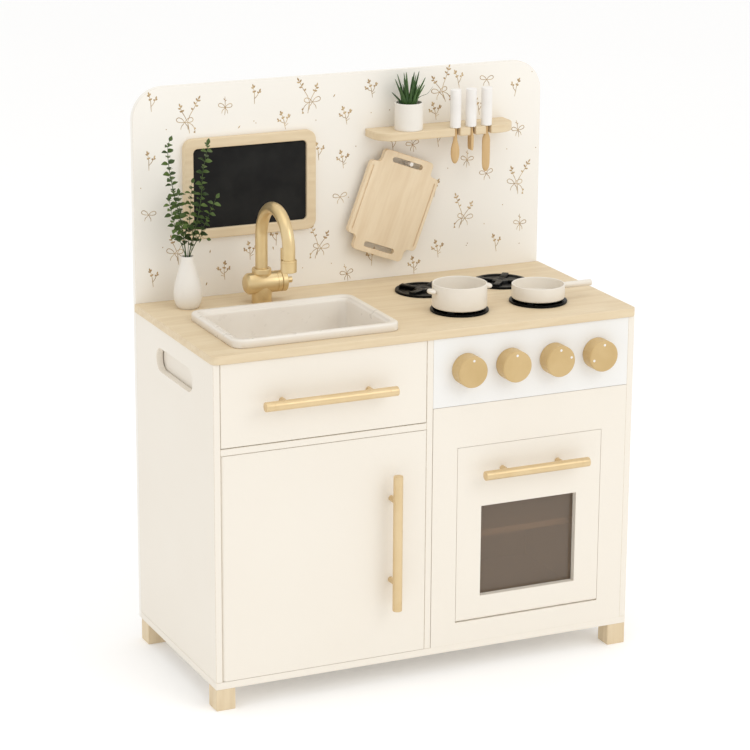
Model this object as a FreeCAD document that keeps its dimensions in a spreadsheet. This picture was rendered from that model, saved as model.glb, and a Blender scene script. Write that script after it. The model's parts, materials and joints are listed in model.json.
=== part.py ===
import FreeCAD, Part
import math
import os
import re
import Sketcher

# Free-standing wooden toy kitchen. The frame is +X to the right, +Y to the back, +Z up,
# in millimetres, with the origin on the floor under the middle of the whole object.
# Depths below are written from the front plane of the carcass (0) towards the back;
# Y_MIDDLE moves them to the frame's origin in one place, at() and box().

SIZES = [
    # carcass
    ("overall_width", 600.0, "carcass, outer width"),
    ("side_depth", 280.0, "side panels, front to back"),
    ("panel", 9.0, "board thickness of the carcass and the doors"),
    ("bottom_thick", 9.5, "bottom panel thickness"),
    ("foot_size", 26.5, "square feet, side"),
    ("foot_height", 29.3, "feet, height"),
    ("carcass_top", 463.8, "height of the carcass under the worktop"),
    ("worktop_thick", 11.3, "worktop thickness"),
    ("worktop_front", 3.3, "worktop overhang at the front"),
    ("worktop_side", 2.0, "worktop overhang at each side"),
    ("worktop_corner", 10.0, "worktop front corner radius"),
    ("board_top", 763.5, "top of the back board"),
    ("board_corner", 43.0, "back board top corner radius"),
    ("shelf_under", 343.5, "underside of the shelf that carries the drawer"),
    ("control_bottom", 370.5, "line between the control panel and the oven surround"),
    ("oven_shelf_top", 185.0, "top of the shelf in the oven"),
    ("oven_shelf_front", 25.0, "set-back of the shelf in the oven"),
    ("grip_front", 73.0, "grip slot, distance from the front"),
    ("grip_length", 130.0, "grip slot, length"),
    ("grip_height", 31.0, "grip slot, height"),
    ("grip_under", 406.0, "grip slot, lower edge"),
    ("surround_gap", 0.5, "gap beside and above the oven surround"),
    # doors, drawer and their fittings
    ("door_gap", 0.5, "gap round a door or the drawer front"),
    ("pin_radius", 2.0, "hinge pin radius"),
    ("pin_play", 0.05, "radial clearance of a hinge pin or shaft"),
    ("pin_in_door", 10.0, "hinge pin length inside the door"),
    ("pin_out", 6.0, "hinge pin length outside the door"),
    ("oven_margin", 36.2, "oven surround, width beside the door opening"),
    ("oven_sill", 29.7, "oven surround, height below the door opening"),
    ("oven_height", 244.0, "oven door opening, height"),
    ("window_margin", 35.7, "oven door, width beside the window"),
    ("window_sill", 33.0, "oven door, height below the window"),
    ("window_height", 126.0, "oven window, height"),
    ("glass_lap", 8.0, "lap of the window pane behind the door"),
    ("glass_thick", 2.5, "window pane thickness"),
    ("drawer_wall", 8.0, "drawer side and back thickness"),
    ("drawer_play", 1.0, "gap between the drawer box and the carcass"),
    ("drawer_side_top", 445.0, "top of the drawer sides"),
    ("drawer_back_top", 424.0, "top of the drawer back, under the sink"),
    ("drawer_floor", 4.0, "drawer bottom thickness"),
    ("drawer_clear", 15.0, "gap behind the drawer"),
    ("drawer_lift", 0.3, "gap under the drawer sides"),
    ("drawer_inset", 1.0, "drawer bottom above the lower edge of its sides"),
    ("catch_size", 10.0, "catch block, side"),
    # handles and knobs
    ("handle_reach", 28.0, "front of a handle bar from the door face"),
    ("bar_radius", 6.35, "handle bar radius"),
    ("post_radius", 3.8, "handle post radius"),
    ("drawer_bar", 183.0, "drawer handle bar length"),
    ("drawer_posts", 120.0, "drawer handle post spacing"),
    ("door_bar", 185.0, "cupboard handle bar length"),
    ("door_posts", 112.0, "cupboard handle post spacing"),
    ("door_bar_edge", 49.5, "cupboard handle bar from the door's free edge"),
    ("door_bar_middle", 201.0, "height of the middle of the cupboard handle"),
    ("oven_bar", 154.0, "oven handle bar length"),
    ("oven_posts", 82.0, "oven handle post spacing"),
    ("oven_bar_drop", 35.0, "oven handle bar below the top of the door"),
    ("knob_radius", 21.0, "knob radius"),
    ("knob_depth", 21.5, "knob face from the control panel"),
    ("knob_spacing", 64.0, "distance between knobs"),
    ("knob_rise", 49.0, "knob axis above the lower edge of the control panel"),
    ("knob_gap", 0.3, "gap between a knob and the control panel"),
    ("knob_soft", 2.5, "rounding of a knob's face"),
    ("shaft_radius", 4.0, "knob shaft radius"),
    ("shaft_out", 18.0, "shaft behind the front of the control panel"),
    # sink and faucet
    ("sink_front", 18.0, "sink rim, distance from the front"),
    ("sink_behind", 97.0, "sink rim to the back board"),
    ("sink_width", 231.0, "sink rim, outer width"),
    ("sink_rim", 11.0, "sink rim height"),
    ("sink_lip", 10.0, "sink rim, width outside the bowl"),
    ("sink_wall", 3.0, "bowl wall"),
    ("sink_deep", 45.0, "bowl below the top of the worktop"),
    ("sink_corner", 16.0, "sink corner radius"),
    ("cutout_play", 0.5, "gap round the bowl in the worktop"),
    ("faucet_behind", 58.0, "faucet axis to the back board"),
    ("faucet_side", 4.5, "faucet axis to the right of the sink's middle"),
    ("faucet_foot", 13.5, "faucet foot radius"),
    ("valve_radius", 14.25, "valve body radius"),
    ("valve_height", 27.0, "valve axis above the worktop"),
    ("valve_left", 24.0, "valve body, left of the column axis"),
    ("valve_right", 25.7, "valve body, right of the column axis"),
    ("valve_collar", 13.0, "collar radius round the spout"),
    ("collar_height", 20.0, "top of the collar above the valve axis"),
    ("spout_radius", 8.3, "spout tube radius"),
    ("spout_seat", 13.0, "length of the spout inside the collar"),
    ("arch_radius", 46.75, "radius of the spout's arch"),
    ("arch_rise", 90.4, "middle of the arch above the worktop"),
    ("nozzle_radius", 10.3, "nozzle radius"),
    ("nozzle_length", 16.0, "nozzle length"),
    ("nozzle_rise", 63.0, "nozzle mouth above the worktop"),
    ("nozzle_cup", 5.0, "length of the tube inside the nozzle"),
    ("lever_cap", 8.0, "lever cap width"),
    ("lever_rod", 2.5, "lever rod radius"),
    ("lever_length", 44.0, "lever rod length from the valve axis"),
    ("lever_stub", 4.0, "radius of the lever's thicker root"),
    ("lever_root", 13.0, "length of the lever's thicker root"),
    ("seat_play", 0.5, "gap at the end of the spout and of the lever's stem"),
    # hob, pot and pan
    ("hob_side", -9.0, "middle of the hob from the middle of its bay"),
    ("hob_width", 117.0, "distance between burners, left to right"),
    ("hob_front", 80.5, "front burners from the front"),
    ("hob_behind", 90.0, "back burners to the back board"),
    ("burner_radius", 39.0, "burner radius"),
    ("burner_disc", 3.2, "burner disc height"),
    ("burner_height", 6.0, "pan supports above the worktop"),
    ("burner_cap", 11.7, "burner cap radius"),
    ("burner_cap_high", 5.0, "burner cap height"),
    ("prong_reach", 34.3, "pan supports from the burner's axis"),
    ("prong_width", 6.5, "pan support width"),
    ("pot_radius", 36.6, "pot outer radius"),
    ("pot_height", 32.0, "pot height"),
    ("pan_radius", 35.8, "pan outer radius"),
    ("pan_height", 19.0, "pan height"),
    ("pan_wall", 2.6, "pot and pan wall"),
    ("pot_tab", 10.0, "reach of the pot's tabs"),
    ("tab_thick", 7.0, "thickness of the pot's tabs"),
    ("tab_soft", 2.8, "rounding of the pot's tabs"),
    ("tab_low", 19.2, "underside of the pot's tabs above its foot"),
    ("pan_grip", 44.0, "length of the pan's handle"),
    ("pan_grip_radius", 3.8, "radius of the pan's handle"),
    ("pan_grip_rise", 12.4, "axis of the pan's handle above its foot"),
    # back board fittings
    ("slate_left", 68.0, "chalkboard from the left edge of the carcass"),
    ("slate_width", 189.3, "chalkboard frame, width"),
    ("slate_low", 80.8, "chalkboard frame above the worktop"),
    ("slate_high", 135.8, "chalkboard frame, height"),
    ("slate_border", 13.5, "chalkboard frame, border"),
    ("slate_thick", 8.0, "chalkboard frame, thickness"),
    ("slate_panel", 4.0, "chalkboard panel thickness"),
    ("slate_corner", 13.0, "chalkboard frame corner radius"),
    ("slate_inner", 6.0, "corner radius of the opening and of the panel in it"),
    ("rack_left", 33.0, "wall shelf, left end from the middle of the kitchen"),
    ("rack_width", 209.0, "wall shelf, width"),
    ("rack_depth", 50.0, "wall shelf, depth"),
    ("rack_thick", 11.0, "wall shelf, thickness"),
    ("rack_top", 686.0, "wall shelf, top"),
    ("rack_corner", 30.0, "wall shelf, front corner radius"),
    ("notch_width", 8.0, "utensil notch width"),
    ("notch_deep", 16.0, "utensil notch depth"),
    ("notch_first", 115.5, "first notch from the left end of the wall shelf"),
    ("notch_step", 23.5, "distance between notches"),
    ("tool_set_back", 8.0, "utensil axis behind the front edge of the wall shelf"),
    ("grip_radius", 7.5, "utensil handle radius"),
    ("grip_tall", 52.0, "utensil handle length"),
    ("tang_radius", 2.8, "utensil tang radius"),
    ("tang_length", 20.0, "utensil tang length"),
    ("neck_thick", 5.6, "utensil head thickness"),
    ("neck_length", 13.0, "square neck of the spoon and the knife"),
    ("spoon_drop", 50.0, "spoon, length below the handle"),
    ("spoon_width", 11.0, "spoon bowl width"),
    ("spoon_bowl", 33.0, "spoon bowl length"),
    ("fork_drop", 33.0, "fork, length below the handle"),
    ("fork_width", 13.0, "fork width"),
    ("fork_slit", 1.8, "gap between fork tines"),
    ("tine_length", 17.0, "fork tine length"),
    ("knife_drop", 64.5, "knife, length below the handle"),
    ("knife_width", 9.0, "knife blade width"),
    ("peg_side", 94.1, "peg from the middle of the kitchen"),
    ("peg_height", 634.7, "peg height"),
    ("peg_radius", 2.9, "peg radius"),
    ("peg_length", 20.0, "peg length"),
    ("chop_width", 108.0, "cutting board, width"),
    ("chop_body", 104.0, "cutting board, length of the wide part"),
    ("chop_length", 143.0, "cutting board, whole length"),
    ("chop_tab", 77.5, "cutting board, width of the end tabs"),
    ("chop_thick", 8.0, "cutting board, thickness"),
    ("chop_slot", 48.0, "cutting board, slot length"),
    ("chop_slot_high", 7.6, "cutting board, slot width"),
    ("chop_slot_at", 60.7, "cutting board, slot from its middle"),
    ("chop_groove_at", 49.0, "cutting board, groove from its middle"),
    ("chop_groove", 91.0, "cutting board, groove length"),
    ("chop_groove_wide", 2.0, "cutting board, groove width"),
    ("chop_groove_deep", 1.5, "cutting board, groove depth"),
    ("chop_corner", 6.0, "cutting board, corner radius"),
    ("chop_behind", 9.0, "cutting board's back face to the back board"),
    ("chop_off_peg", 4.5, "peg to the right of the slot's middle"),
    ("chop_rest_gap", 0.3, "gap between the peg and the slot's upper edge"),
    # plants
    ("vase_side", 57.0, "vase axis from the left edge of the carcass"),
    ("vase_behind", 45.0, "vase axis to the back board"),
    ("vase_foot", 13.0, "vase foot radius"),
    ("vase_belly", 19.0, "vase belly radius"),
    ("vase_neck", 8.2, "vase neck radius"),
    ("vase_height", 70.0, "vase height"),
    ("vase_wall", 1.8, "vase wall"),
    ("neck_flare", 1.0, "how much the neck widens below the vase's mouth"),
    ("stem_radius", 1.3, "sprig stem radius"),
    ("sprig_height", 228.0, "tallest sprig above the worktop"),
    ("leaf_reach", 16.0, "length of the lowest sprig leaves"),
    ("leaf_width", 7.0, "sprig leaf width"),
    ("leaf_thick", 1.4, "sprig leaf thickness"),
    ("planter_side", 51.5, "planter axis from the left end of the wall shelf"),
    ("planter_behind", 29.0, "planter axis to the back board"),
    ("planter_radius", 19.3, "planter radius"),
    ("planter_height", 37.0, "planter height"),
    ("planter_wall", 2.0, "planter wall"),
    ("soil_low", 4.0, "soil below the planter's rim"),
    ("soil_deep", 12.0, "soil thickness"),
    ("leaf_rise", 43.0, "tips of the succulent's leaves above the planter's rim"),
    ("crown_radius", 7.5, "radius of the succulent's crown at the soil"),
    ("crown_top", 4.0, "radius of the crown's top"),
    ("crown_high", 8.0, "height of the crown"),
    ("spike_radius", 2.6, "root radius of a succulent leaf"),
    ("spike_tip", 0.4, "tip radius of a succulent leaf"),
    ("spike_from", 3.2, "root of a succulent leaf from the axis"),
    ("spike_low", 3.0, "root of a succulent leaf above the soil"),
]

CHOP_TILT = 20.5       # degrees the cutting board leans to the right as it hangs
LEAF_LEAN = 35.0       # degrees the sprig leaves rise from level
BAR_ROUND = 0.8        # rounding of bar ends and small edges
TURNED_ROUND = 1.5     # rounding of the faucet's turned ends
DISC_ROUND = 1.0       # rounding of the burner discs and of the peg
RIM_ROUND = 1.2        # rounding of the pot's and the pan's edges
ROUND_SHORT = 0.1      # a hinge edge is rounded this much less than half the board
KNIFE_ROUND = 0.4      # rounding of the knife's tip, as a share of its width

# The vase's outline: height and radius, each as a share of the whole height and of the belly.
VASE_BELLY_AT = 0.3
VASE_SHOULDER = (0.55, 0.8)
VASE_THROAT_AT = 0.85

# Each sprig: sideways lean of its tip in mm, share of the full height, start in mm from the axis.
SPRIGS = ((-22, 1.0, -1.5), (28, 0.95, 1.5))
LEAVES_PER_SPRIG = 9
FIRST_LEAF = 0.3       # share of the sprig below its first leaf
LEAF_STEP = 0.08       # share of the sprig between two leaves
LEAF_SHRINK = 0.05     # each leaf is this share of the lowest one shorter than the one before

# Rings of succulent leaves: how many, lean from upright in degrees, share of the full length.
SPIKE_RINGS = ((5, 10, 1.0), (7, 21, 0.93), (7, 34, 0.72))

doc = FreeCAD.newDocument("ToyKitchen")
sheet = doc.addObject("Spreadsheet::Sheet", "Sizes")
for row, (alias, value, meaning) in enumerate(SIZES, 1):
    sheet.set(f"A{row}", meaning)
    sheet.set(f"B{row}", str(value))
    sheet.setAlias(f"B{row}", alias)
doc.recompute()
NAMES = {alias for alias, value, meaning in SIZES}
WORD = re.compile(r"[a-z][a-z0-9_]*")
subparts = {}

# Places that several pieces share, as formulas on the sheet's cells.
SIDE_IN = "(overall_width / 2 - panel)"
DIVIDER = "(panel / 2)"
BAY_MIDDLE = f"(({SIDE_IN} + {DIVIDER}) / 2)"
FLOOR = "(foot_height + bottom_thick)"
SHELF_TOP = "(shelf_under + panel)"
WORKTOP = "(carcass_top + worktop_thick)"
Y_MIDDLE = "((side_depth + panel - handle_reach) / 2)"
OVEN_LEFT = f"({DIVIDER} + oven_margin)"
OVEN_RIGHT = f"({SIDE_IN} - oven_margin)"
OVEN_LOW = f"({FLOOR} + oven_sill)"
OVEN_HIGH = f"({FLOOR} + oven_sill + oven_height)"
FAUCET_X = f"(faucet_side - {BAY_MIDDLE})"
FAUCET_Y = "(side_depth - faucet_behind)"
VALVE_Z = f"({WORKTOP} + valve_height)"
TOOL_Y = "(side_depth - rack_depth + tool_set_back)"
HINGE_IN = "(panel / 2)"
KNOB_PLACES = ("-1.5", "-0.5", "0.5", "1.5")
PIVOT_X = f"({HINGE_IN} + door_gap - {SIDE_IN})"
OVEN_PIVOT_Z = f"({OVEN_LOW} + door_gap + {HINGE_IN})"
BAR_Y = "(bar_radius - handle_reach)"

AXES = {
    "x": (FreeCAD.Vector(0, 1, 0), 90),
    "y": (FreeCAD.Vector(1, 0, 0), -90),
    "z": (FreeCAD.Vector(0, 0, 1), 0),
}


def size(alias):
    """The number in a cell, for pieces that are made from a Shape."""
    return float(sheet.get(alias))


def formula(text):
    """The text with each size name pointing at its cell."""
    return WORD.sub(lambda word: f"Sizes.{word[0]}" if word[0] in NAMES else word[0], str(text))


def bind(obj, prop, text):
    obj.setExpression(prop, formula(text))


def number(text):
    """The present value of a formula, to start a sketch near its solution."""
    return float(sheet.evalExpression(formula(text)))


def at(obj, x, y, z):
    """Place an object; y is a depth from the front plane of the carcass."""
    bind(obj, "Placement.Base.x", x)
    bind(obj, "Placement.Base.y", f"{y} - {Y_MIDDLE}")
    bind(obj, "Placement.Base.z", z)
    return obj


def keep(obj, node):
    """Name a finished sub-part."""
    obj.Label = node
    subparts[node] = obj
    return obj


def box(name, x, y, z):
    """A box between two formulas along each axis."""
    obj = doc.addObject("Part::Box", name)
    for prop, (low, high) in (("Length", x), ("Width", y), ("Height", z)):
        bind(obj, prop, f"({high}) - ({low})")
    return at(obj, x[0], y[0], z[0])


def around(middle, reach):
    """The two ends of a span with the given middle."""
    return f"{middle} - {reach}", f"{middle} + {reach}"


def rod(name, axis, start, radius, length):
    """A cylinder from a point along +X, +Y or +Z."""
    obj = doc.addObject("Part::Cylinder", name)
    obj.Placement.Rotation = FreeCAD.Rotation(*AXES[axis])
    bind(obj, "Radius", radius)
    bind(obj, "Height", length)
    return at(obj, *start)


def joined(name, pieces):
    obj = doc.addObject("Part::MultiFuse", name)
    obj.Shapes = pieces
    return obj


def grouped(name, pieces):
    """Equal pieces that share one node as separate solids."""
    obj = doc.addObject("Part::Compound", name)
    obj.Links = pieces
    return obj


def cut(name, base, tools):
    obj = doc.addObject("Part::Cut", name)
    obj.Base = base
    obj.Tool = tools[0] if len(tools) == 1 else joined(f"{name}_tools", tools)
    return obj


def rounded(name, base, radius, wanted):
    """Round the edges of a Part object that the test picks."""
    doc.recompute()
    obj = doc.addObject("Part::Fillet", name)
    obj.Base = base
    limits = base.Shape.BoundBox
    picked = [index for index, edge in enumerate(base.Shape.Edges, 1) if wanted(edge, limits)]
    obj.Edges = [(index, radius, radius) for index in picked]
    return obj


def along(edge, axis):
    """True for a straight edge that runs along the axis."""
    if not isinstance(edge.Curve, (Part.Line, Part.LineSegment)):
        return False
    return abs(abs(getattr(edge.tangentAt(edge.FirstParameter), axis)) - 1) < 1e-6


def near(value, *targets):
    return any(abs(value - target) < 1e-3 for target in targets)


def circular(edge, box_):
    return isinstance(edge.Curve, Part.Circle)


def circular_top(edge, box_):
    return circular(edge, box_) and near(edge.CenterOfMass.z, box_.ZMax)


def circular_front(edge, box_):
    return circular(edge, box_) and near(edge.CenterOfMass.y, box_.YMin)


def through(edge, box_):
    """Corner edges that run from front to back."""
    return along(edge, "y")


def upright_front(edge, box_):
    return along(edge, "z") and near(edge.CenterOfMass.y, box_.YMin)


# --- sketches -------------------------------------------------------------------------

def new_body(name, x, y, z):
    return at(doc.addObject("PartDesign::Body", name), x, y, z)


def new_sketch(body, plane, name, lift="0"):
    """A sketch on one of the body's own origin planes, lifted along its normal."""
    sketch = body.newObject("Sketcher::SketchObject", name)
    role = {"xy": "XY_Plane", "xz": "XZ_Plane", "yz": "YZ_Plane"}[plane]
    face = next(item for item in body.Origin.OriginFeatures if item.Role == role)
    sketch.AttachmentSupport = [(face, "")]
    sketch.MapMode = "FlatFace"
    bind(sketch, "AttachmentOffset.Base.z", lift)
    return sketch


def hold(sketch, kind, *args):
    """Add a constraint; a formula as the last value drives it."""
    if isinstance(args[-1], str):
        index = sketch.addConstraint(Sketcher.Constraint(kind, *args[:-1], number(args[-1])))
        bind(sketch, f"Constraints[{index}]", args[-1])
        return index
    return sketch.addConstraint(Sketcher.Constraint(kind, *args))


def pin_point(sketch, geometry, point, x, y):
    """Hold a point at (x, y) from the sketch's origin."""
    for kind, value, axis in (("DistanceX", x, -2), ("DistanceY", y, -1)):
        if value == "0":
            hold(sketch, "PointOnObject", geometry, point, axis)
        else:
            hold(sketch, kind, -1, 1, geometry, point, value)


def polygon(sketch, points):
    """A closed outline through points given as formulas."""
    places = [FreeCAD.Vector(number(x), number(y), 0) for x, y in points]
    first = sketch.GeometryCount
    count = len(points)
    for index in range(count):
        sketch.addGeometry(Part.LineSegment(places[index], places[(index + 1) % count]))
    for index in range(count):
        hold(sketch, "Coincident", first + index, 2, first + (index + 1) % count, 1)
    for index, (x, y) in enumerate(points):
        pin_point(sketch, first + index, 1, x, y)


def rectangle(sketch, x, y):
    polygon(sketch, [(x[0], y[0]), (x[1], y[0]), (x[1], y[1]), (x[0], y[1])])


def circle(sketch, x, y, radius):
    middle = FreeCAD.Vector(number(x), number(y), 0)
    index = sketch.addGeometry(Part.Circle(middle, FreeCAD.Vector(0, 0, 1), number(radius)))
    pin_point(sketch, index, 3, x, y)
    hold(sketch, "Radius", index, radius)


def stadium(sketch, x, y):
    """A slot with round ends, longer along the sketch's first axis."""
    radius = f"(({y[1]}) - ({y[0]})) / 2"
    middle = number(f"(({y[0]}) + ({y[1]})) / 2")
    reach = number(radius)
    left, right = number(x[0]) + reach, number(x[1]) - reach
    up = FreeCAD.Vector(0, 0, 1)
    quarter = math.pi / 2
    bottom, top = middle - reach, middle + reach
    lower = Part.LineSegment(FreeCAD.Vector(left, bottom, 0), FreeCAD.Vector(right, bottom, 0))
    upper = Part.LineSegment(FreeCAD.Vector(right, top, 0), FreeCAD.Vector(left, top, 0))
    end = Part.ArcOfCircle(Part.Circle(FreeCAD.Vector(right, middle, 0), up, reach), -quarter, quarter)
    start = Part.ArcOfCircle(Part.Circle(FreeCAD.Vector(left, middle, 0), up, reach), quarter, 3 * quarter)
    a, b, c, d = [sketch.addGeometry(item) for item in (lower, end, upper, start)]
    for one, two in ((a, b), (b, c), (c, d), (d, a)):
        hold(sketch, "Tangent", one, 2, two, 1)
    hold(sketch, "Horizontal", a)
    pin_point(sketch, d, 3, f"({x[0]}) + {radius}", f"(({y[0]}) + ({y[1]})) / 2")
    hold(sketch, "DistanceX", d, 3, b, 3, f"({x[1]}) - ({x[0]}) - 2 * {radius}")
    hold(sketch, "Radius", b, radius)


def pad(body, sketch, length, reverse=False):
    feature = body.newObject("PartDesign::Pad", f"{sketch.Name}_pad")
    feature.Profile = sketch
    feature.Reversed = reverse
    bind(feature, "Length", length)
    return feature


def pocket(body, sketch, length, reverse=False):
    """Cut a sketch into the body and make sure that it did remove material."""
    doc.recompute()
    before = body.Shape.Volume
    feature = body.newObject("PartDesign::Pocket", f"{sketch.Name}_cut")
    feature.Profile = sketch
    feature.Reversed = reverse
    bind(feature, "Length", length)
    doc.recompute()
    if not body.Shape.Volume < before - 1e-6:
        raise ValueError(f"{feature.Name} removed nothing")
    return feature


def soften(body, radius, wanted, name):
    """Round the body's edges that the test picks."""
    doc.recompute()
    base = body.Tip
    shape = base.Shape
    picked = [f"Edge{index}" for index, edge in enumerate(shape.Edges, 1) if wanted(edge, shape.BoundBox)]
    feature = body.newObject("PartDesign::Fillet", name)
    feature.Base = (base, picked)
    bind(feature, "Radius", radius)
    doc.recompute()
    return feature


# --- carcass --------------------------------------------------------------------------

def side_panels():
    """The two side panels, each with a grip slot."""
    for node, x in (("left_side_panel", "-overall_width / 2"), ("right_side_panel", SIDE_IN)):
        body = new_body(node, x, "0", FLOOR)
        board = new_sketch(body, "yz", f"{node}_outline")
        rectangle(board, ("0", "side_depth"), ("0", f"carcass_top - {FLOOR}"))
        pad(body, board, "panel")
        slot = new_sketch(body, "yz", f"{node}_grip", "panel")
        low = f"grip_under - {FLOOR}"
        stadium(slot, ("grip_front", "grip_front + grip_length"), (low, f"{low} + grip_height"))
        pocket(body, slot, "panel")
        keep(body, node)


def carcass_boards():
    """Bottom, divider, shelves, feet and the back board."""
    half = "overall_width / 2"
    low = "foot_height"
    # The cupboard door's lower pin turns in a blind hole in the bottom panel.
    plate = box("bottom_plate", (f"-{half}", half), ("0", "side_depth"), (low, FLOOR))
    spot = (PIVOT_X, HINGE_IN, f"{FLOOR} - pin_out")
    hole = rod("bottom_hole", "z", spot, "pin_radius + pin_play", "pin_out")
    keep(cut("bottom_panel", plate, [hole]), "bottom_panel")
    divider = box("centre_divider", (f"-{DIVIDER}", DIVIDER), ("0", "side_depth"), (FLOOR, "carcass_top"))
    keep(divider, "centre_divider")
    bay = (f"-{SIDE_IN}", f"-{DIVIDER}")
    plate = box("shelf_plate", bay, ("0", "side_depth"), ("shelf_under", SHELF_TOP))
    hole = rod("shelf_hole", "z", (PIVOT_X, HINGE_IN, "shelf_under"), "pin_radius + pin_play", "pin_out")
    keep(cut("drawer_shelf", plate, [hole]), "drawer_shelf")
    ceiling = box("oven_ceiling", (DIVIDER, SIDE_IN), ("panel", "side_depth"),
                  ("control_bottom - panel", "control_bottom"))
    keep(ceiling, "oven_ceiling")
    shelf = box("oven_shelf", (DIVIDER, SIDE_IN), ("oven_shelf_front", "side_depth"),
                ("oven_shelf_top - panel", "oven_shelf_top"))
    keep(shelf, "oven_shelf")
    feet = []
    for side, x in (("left", f"-{half}"), ("right", f"{half} - foot_size")):
        for end, y in (("front", "0"), ("back", "side_depth - foot_size")):
            spot = ((x, f"{x} + foot_size"), (y, f"{y} + foot_size"))
            feet.append(box(f"foot_{side}_{end}", *spot, ("0", low)))
    keep(grouped("feet", feet), "feet")


def back_board():
    """One board behind the carcass, up to the round top corners."""
    body = new_body("back_board", "-overall_width / 2", "side_depth", "foot_height")
    face = new_sketch(body, "xz", "back_board_outline")
    rectangle(face, ("0", "overall_width"), ("0", "board_top - foot_height"))
    pad(body, face, "panel", reverse=True)
    soften(body, "board_corner",
           lambda edge, box_: along(edge, "y") and near(edge.CenterOfMass.z, box_.ZMax),
           "back_board_corners")
    keep(body, "back_board")


def worktop():
    """The worktop with its sink cut-out."""
    width = "overall_width + 2 * worktop_side"
    body = new_body("worktop", "-overall_width / 2 - worktop_side", "-worktop_front", "carcass_top")
    plate = new_sketch(body, "xy", "worktop_outline")
    rectangle(plate, ("0", width), ("0", "side_depth + worktop_front"))
    pad(body, plate, "worktop_thick")
    soften(body, "worktop_corner", upright_front, "worktop_corners")
    hole = new_sketch(body, "xy", "worktop_sink", "worktop_thick")
    middle = f"({width}) / 2 - {BAY_MIDDLE}"
    reach = "(sink_width / 2 - sink_lip + cutout_play)"
    front = "worktop_front + sink_front + sink_lip - cutout_play"
    back = "worktop_front + side_depth - sink_behind - sink_lip + cutout_play"
    rectangle(hole, (f"{middle} - {reach}", f"{middle} + {reach}"), (front, back))
    pocket(body, hole, "worktop_thick")
    keep(body, "worktop")


def right_front():
    """Control panel with the knobs' shaft holes, and the oven surround."""
    body = new_body("control_panel", DIVIDER, "0", "control_bottom")
    face = new_sketch(body, "xz", "control_panel_outline")
    rectangle(face, ("0", f"{SIDE_IN} - {DIVIDER}"), ("0", "carcass_top - control_bottom"))
    pad(body, face, "panel", reverse=True)
    holes = new_sketch(body, "xz", "control_panel_holes")
    for place in KNOB_PLACES:
        x = f"{BAY_MIDDLE} - {DIVIDER} + ({place}) * knob_spacing"
        circle(holes, x, "knob_rise", "shaft_radius + pin_play")
    pocket(body, holes, "panel")
    keep(body, "control_panel")

    plate = box("surround_plate", (f"{DIVIDER} + surround_gap", SIDE_IN), ("0", "panel"),
                (FLOOR, "control_bottom - surround_gap"))
    gap = box("surround_opening", (OVEN_LEFT, OVEN_RIGHT), ("0", "panel"), (OVEN_LOW, OVEN_HIGH))
    reach = f"({OVEN_RIGHT}) - ({OVEN_LEFT}) + 2 * (pin_out - door_gap)"
    start = (f"{OVEN_LEFT} - pin_out + door_gap", HINGE_IN, OVEN_PIVOT_Z)
    bore = rod("surround_pin_holes", "x", start, "pin_radius + pin_play", reach)
    keep(cut("oven_surround", plate, [gap, bore]), "oven_surround")


def catches():
    """Two blocks that stop and hold the doors at rest."""
    deep = ("panel", "panel + catch_size")
    cupboard = box("cupboard_catch", (f"-{DIVIDER} - catch_size", f"-{DIVIDER}"), deep,
                   ("shelf_under - 2 * catch_size", "shelf_under - catch_size"))
    oven = box("oven_catch", (f"{BAY_MIDDLE} - catch_size", f"{BAY_MIDDLE} + catch_size"), deep,
               (f"{OVEN_HIGH} - catch_size / 2", f"{OVEN_HIGH} + catch_size"))
    keep(grouped("door_catches", [cupboard, oven]), "door_catches")


# --- doors, drawer and handles ----------------------------------------------------------

def handle(prefix, axis, middle, bar, posts):
    """A round bar on two posts, in front of a door face at depth 0."""
    x, z = middle
    if axis == "x":
        start = (f"{x} - {bar} / 2", BAR_Y, z)
        ends = [(f"{x} {sign} {posts} / 2", z) for sign in "-+"]
    else:
        start = (x, BAR_Y, f"{z} - {bar} / 2")
        ends = [(x, f"{z} {sign} {posts} / 2") for sign in "-+"]
    core = rod(f"{prefix}_bar_core", axis, start, "bar_radius", bar)
    round_bar = rounded(f"{prefix}_bar", core, BAR_ROUND, circular)
    bores = []
    props = []
    for index, (px, pz) in enumerate(ends):
        spot = (px, BAR_Y, pz)
        props.append(rod(f"{prefix}_post_{index}", "y", spot, "post_radius", f"-{BAR_Y}"))
        bores.append(rod(f"{prefix}_bore_{index}", "y", spot, "post_radius", "bar_radius"))
    keep(cut(f"{prefix}_handle_bar", round_bar, bores), f"{prefix}_handle_bar")
    keep(grouped(f"{prefix}_handle_posts", props), f"{prefix}_handle_posts")


def drawer():
    """Front, two sides, back and bottom."""
    left, right = f"-{SIDE_IN}", f"-{DIVIDER}"
    low = f"({SHELF_TOP} + drawer_lift)"
    back = "side_depth - drawer_clear"
    front = box("drawer_front", (f"{left} + door_gap", f"{right} - door_gap"), ("0", "panel"),
                (f"{SHELF_TOP} + 2 * door_gap", "carcass_top - door_gap"))
    keep(front, "drawer_front")
    outer = (f"{left} + drawer_play", f"{right} - drawer_play")
    inner = (f"{outer[0]} + drawer_wall", f"{outer[1]} - drawer_wall")
    deep, high = ("panel", back), (low, "drawer_side_top")
    sides = [box("drawer_side_left", (outer[0], inner[0]), deep, high),
             box("drawer_side_right", (inner[1], outer[1]), deep, high)]
    keep(grouped("drawer_sides", sides), "drawer_sides")
    floor_low = f"{low} + drawer_inset"
    floor_top = f"{floor_low} + drawer_floor"
    keep(box("drawer_bottom", inner, deep, (floor_low, floor_top)), "drawer_bottom")
    rear = box("drawer_back", inner, (f"{back} - drawer_wall", back), (floor_top, "drawer_back_top"))
    keep(rear, "drawer_back")
    middle = (f"-{BAY_MIDDLE}", f"({SHELF_TOP} + carcass_top) / 2")
    handle("drawer", "x", middle, "drawer_bar", "drawer_posts")


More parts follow.
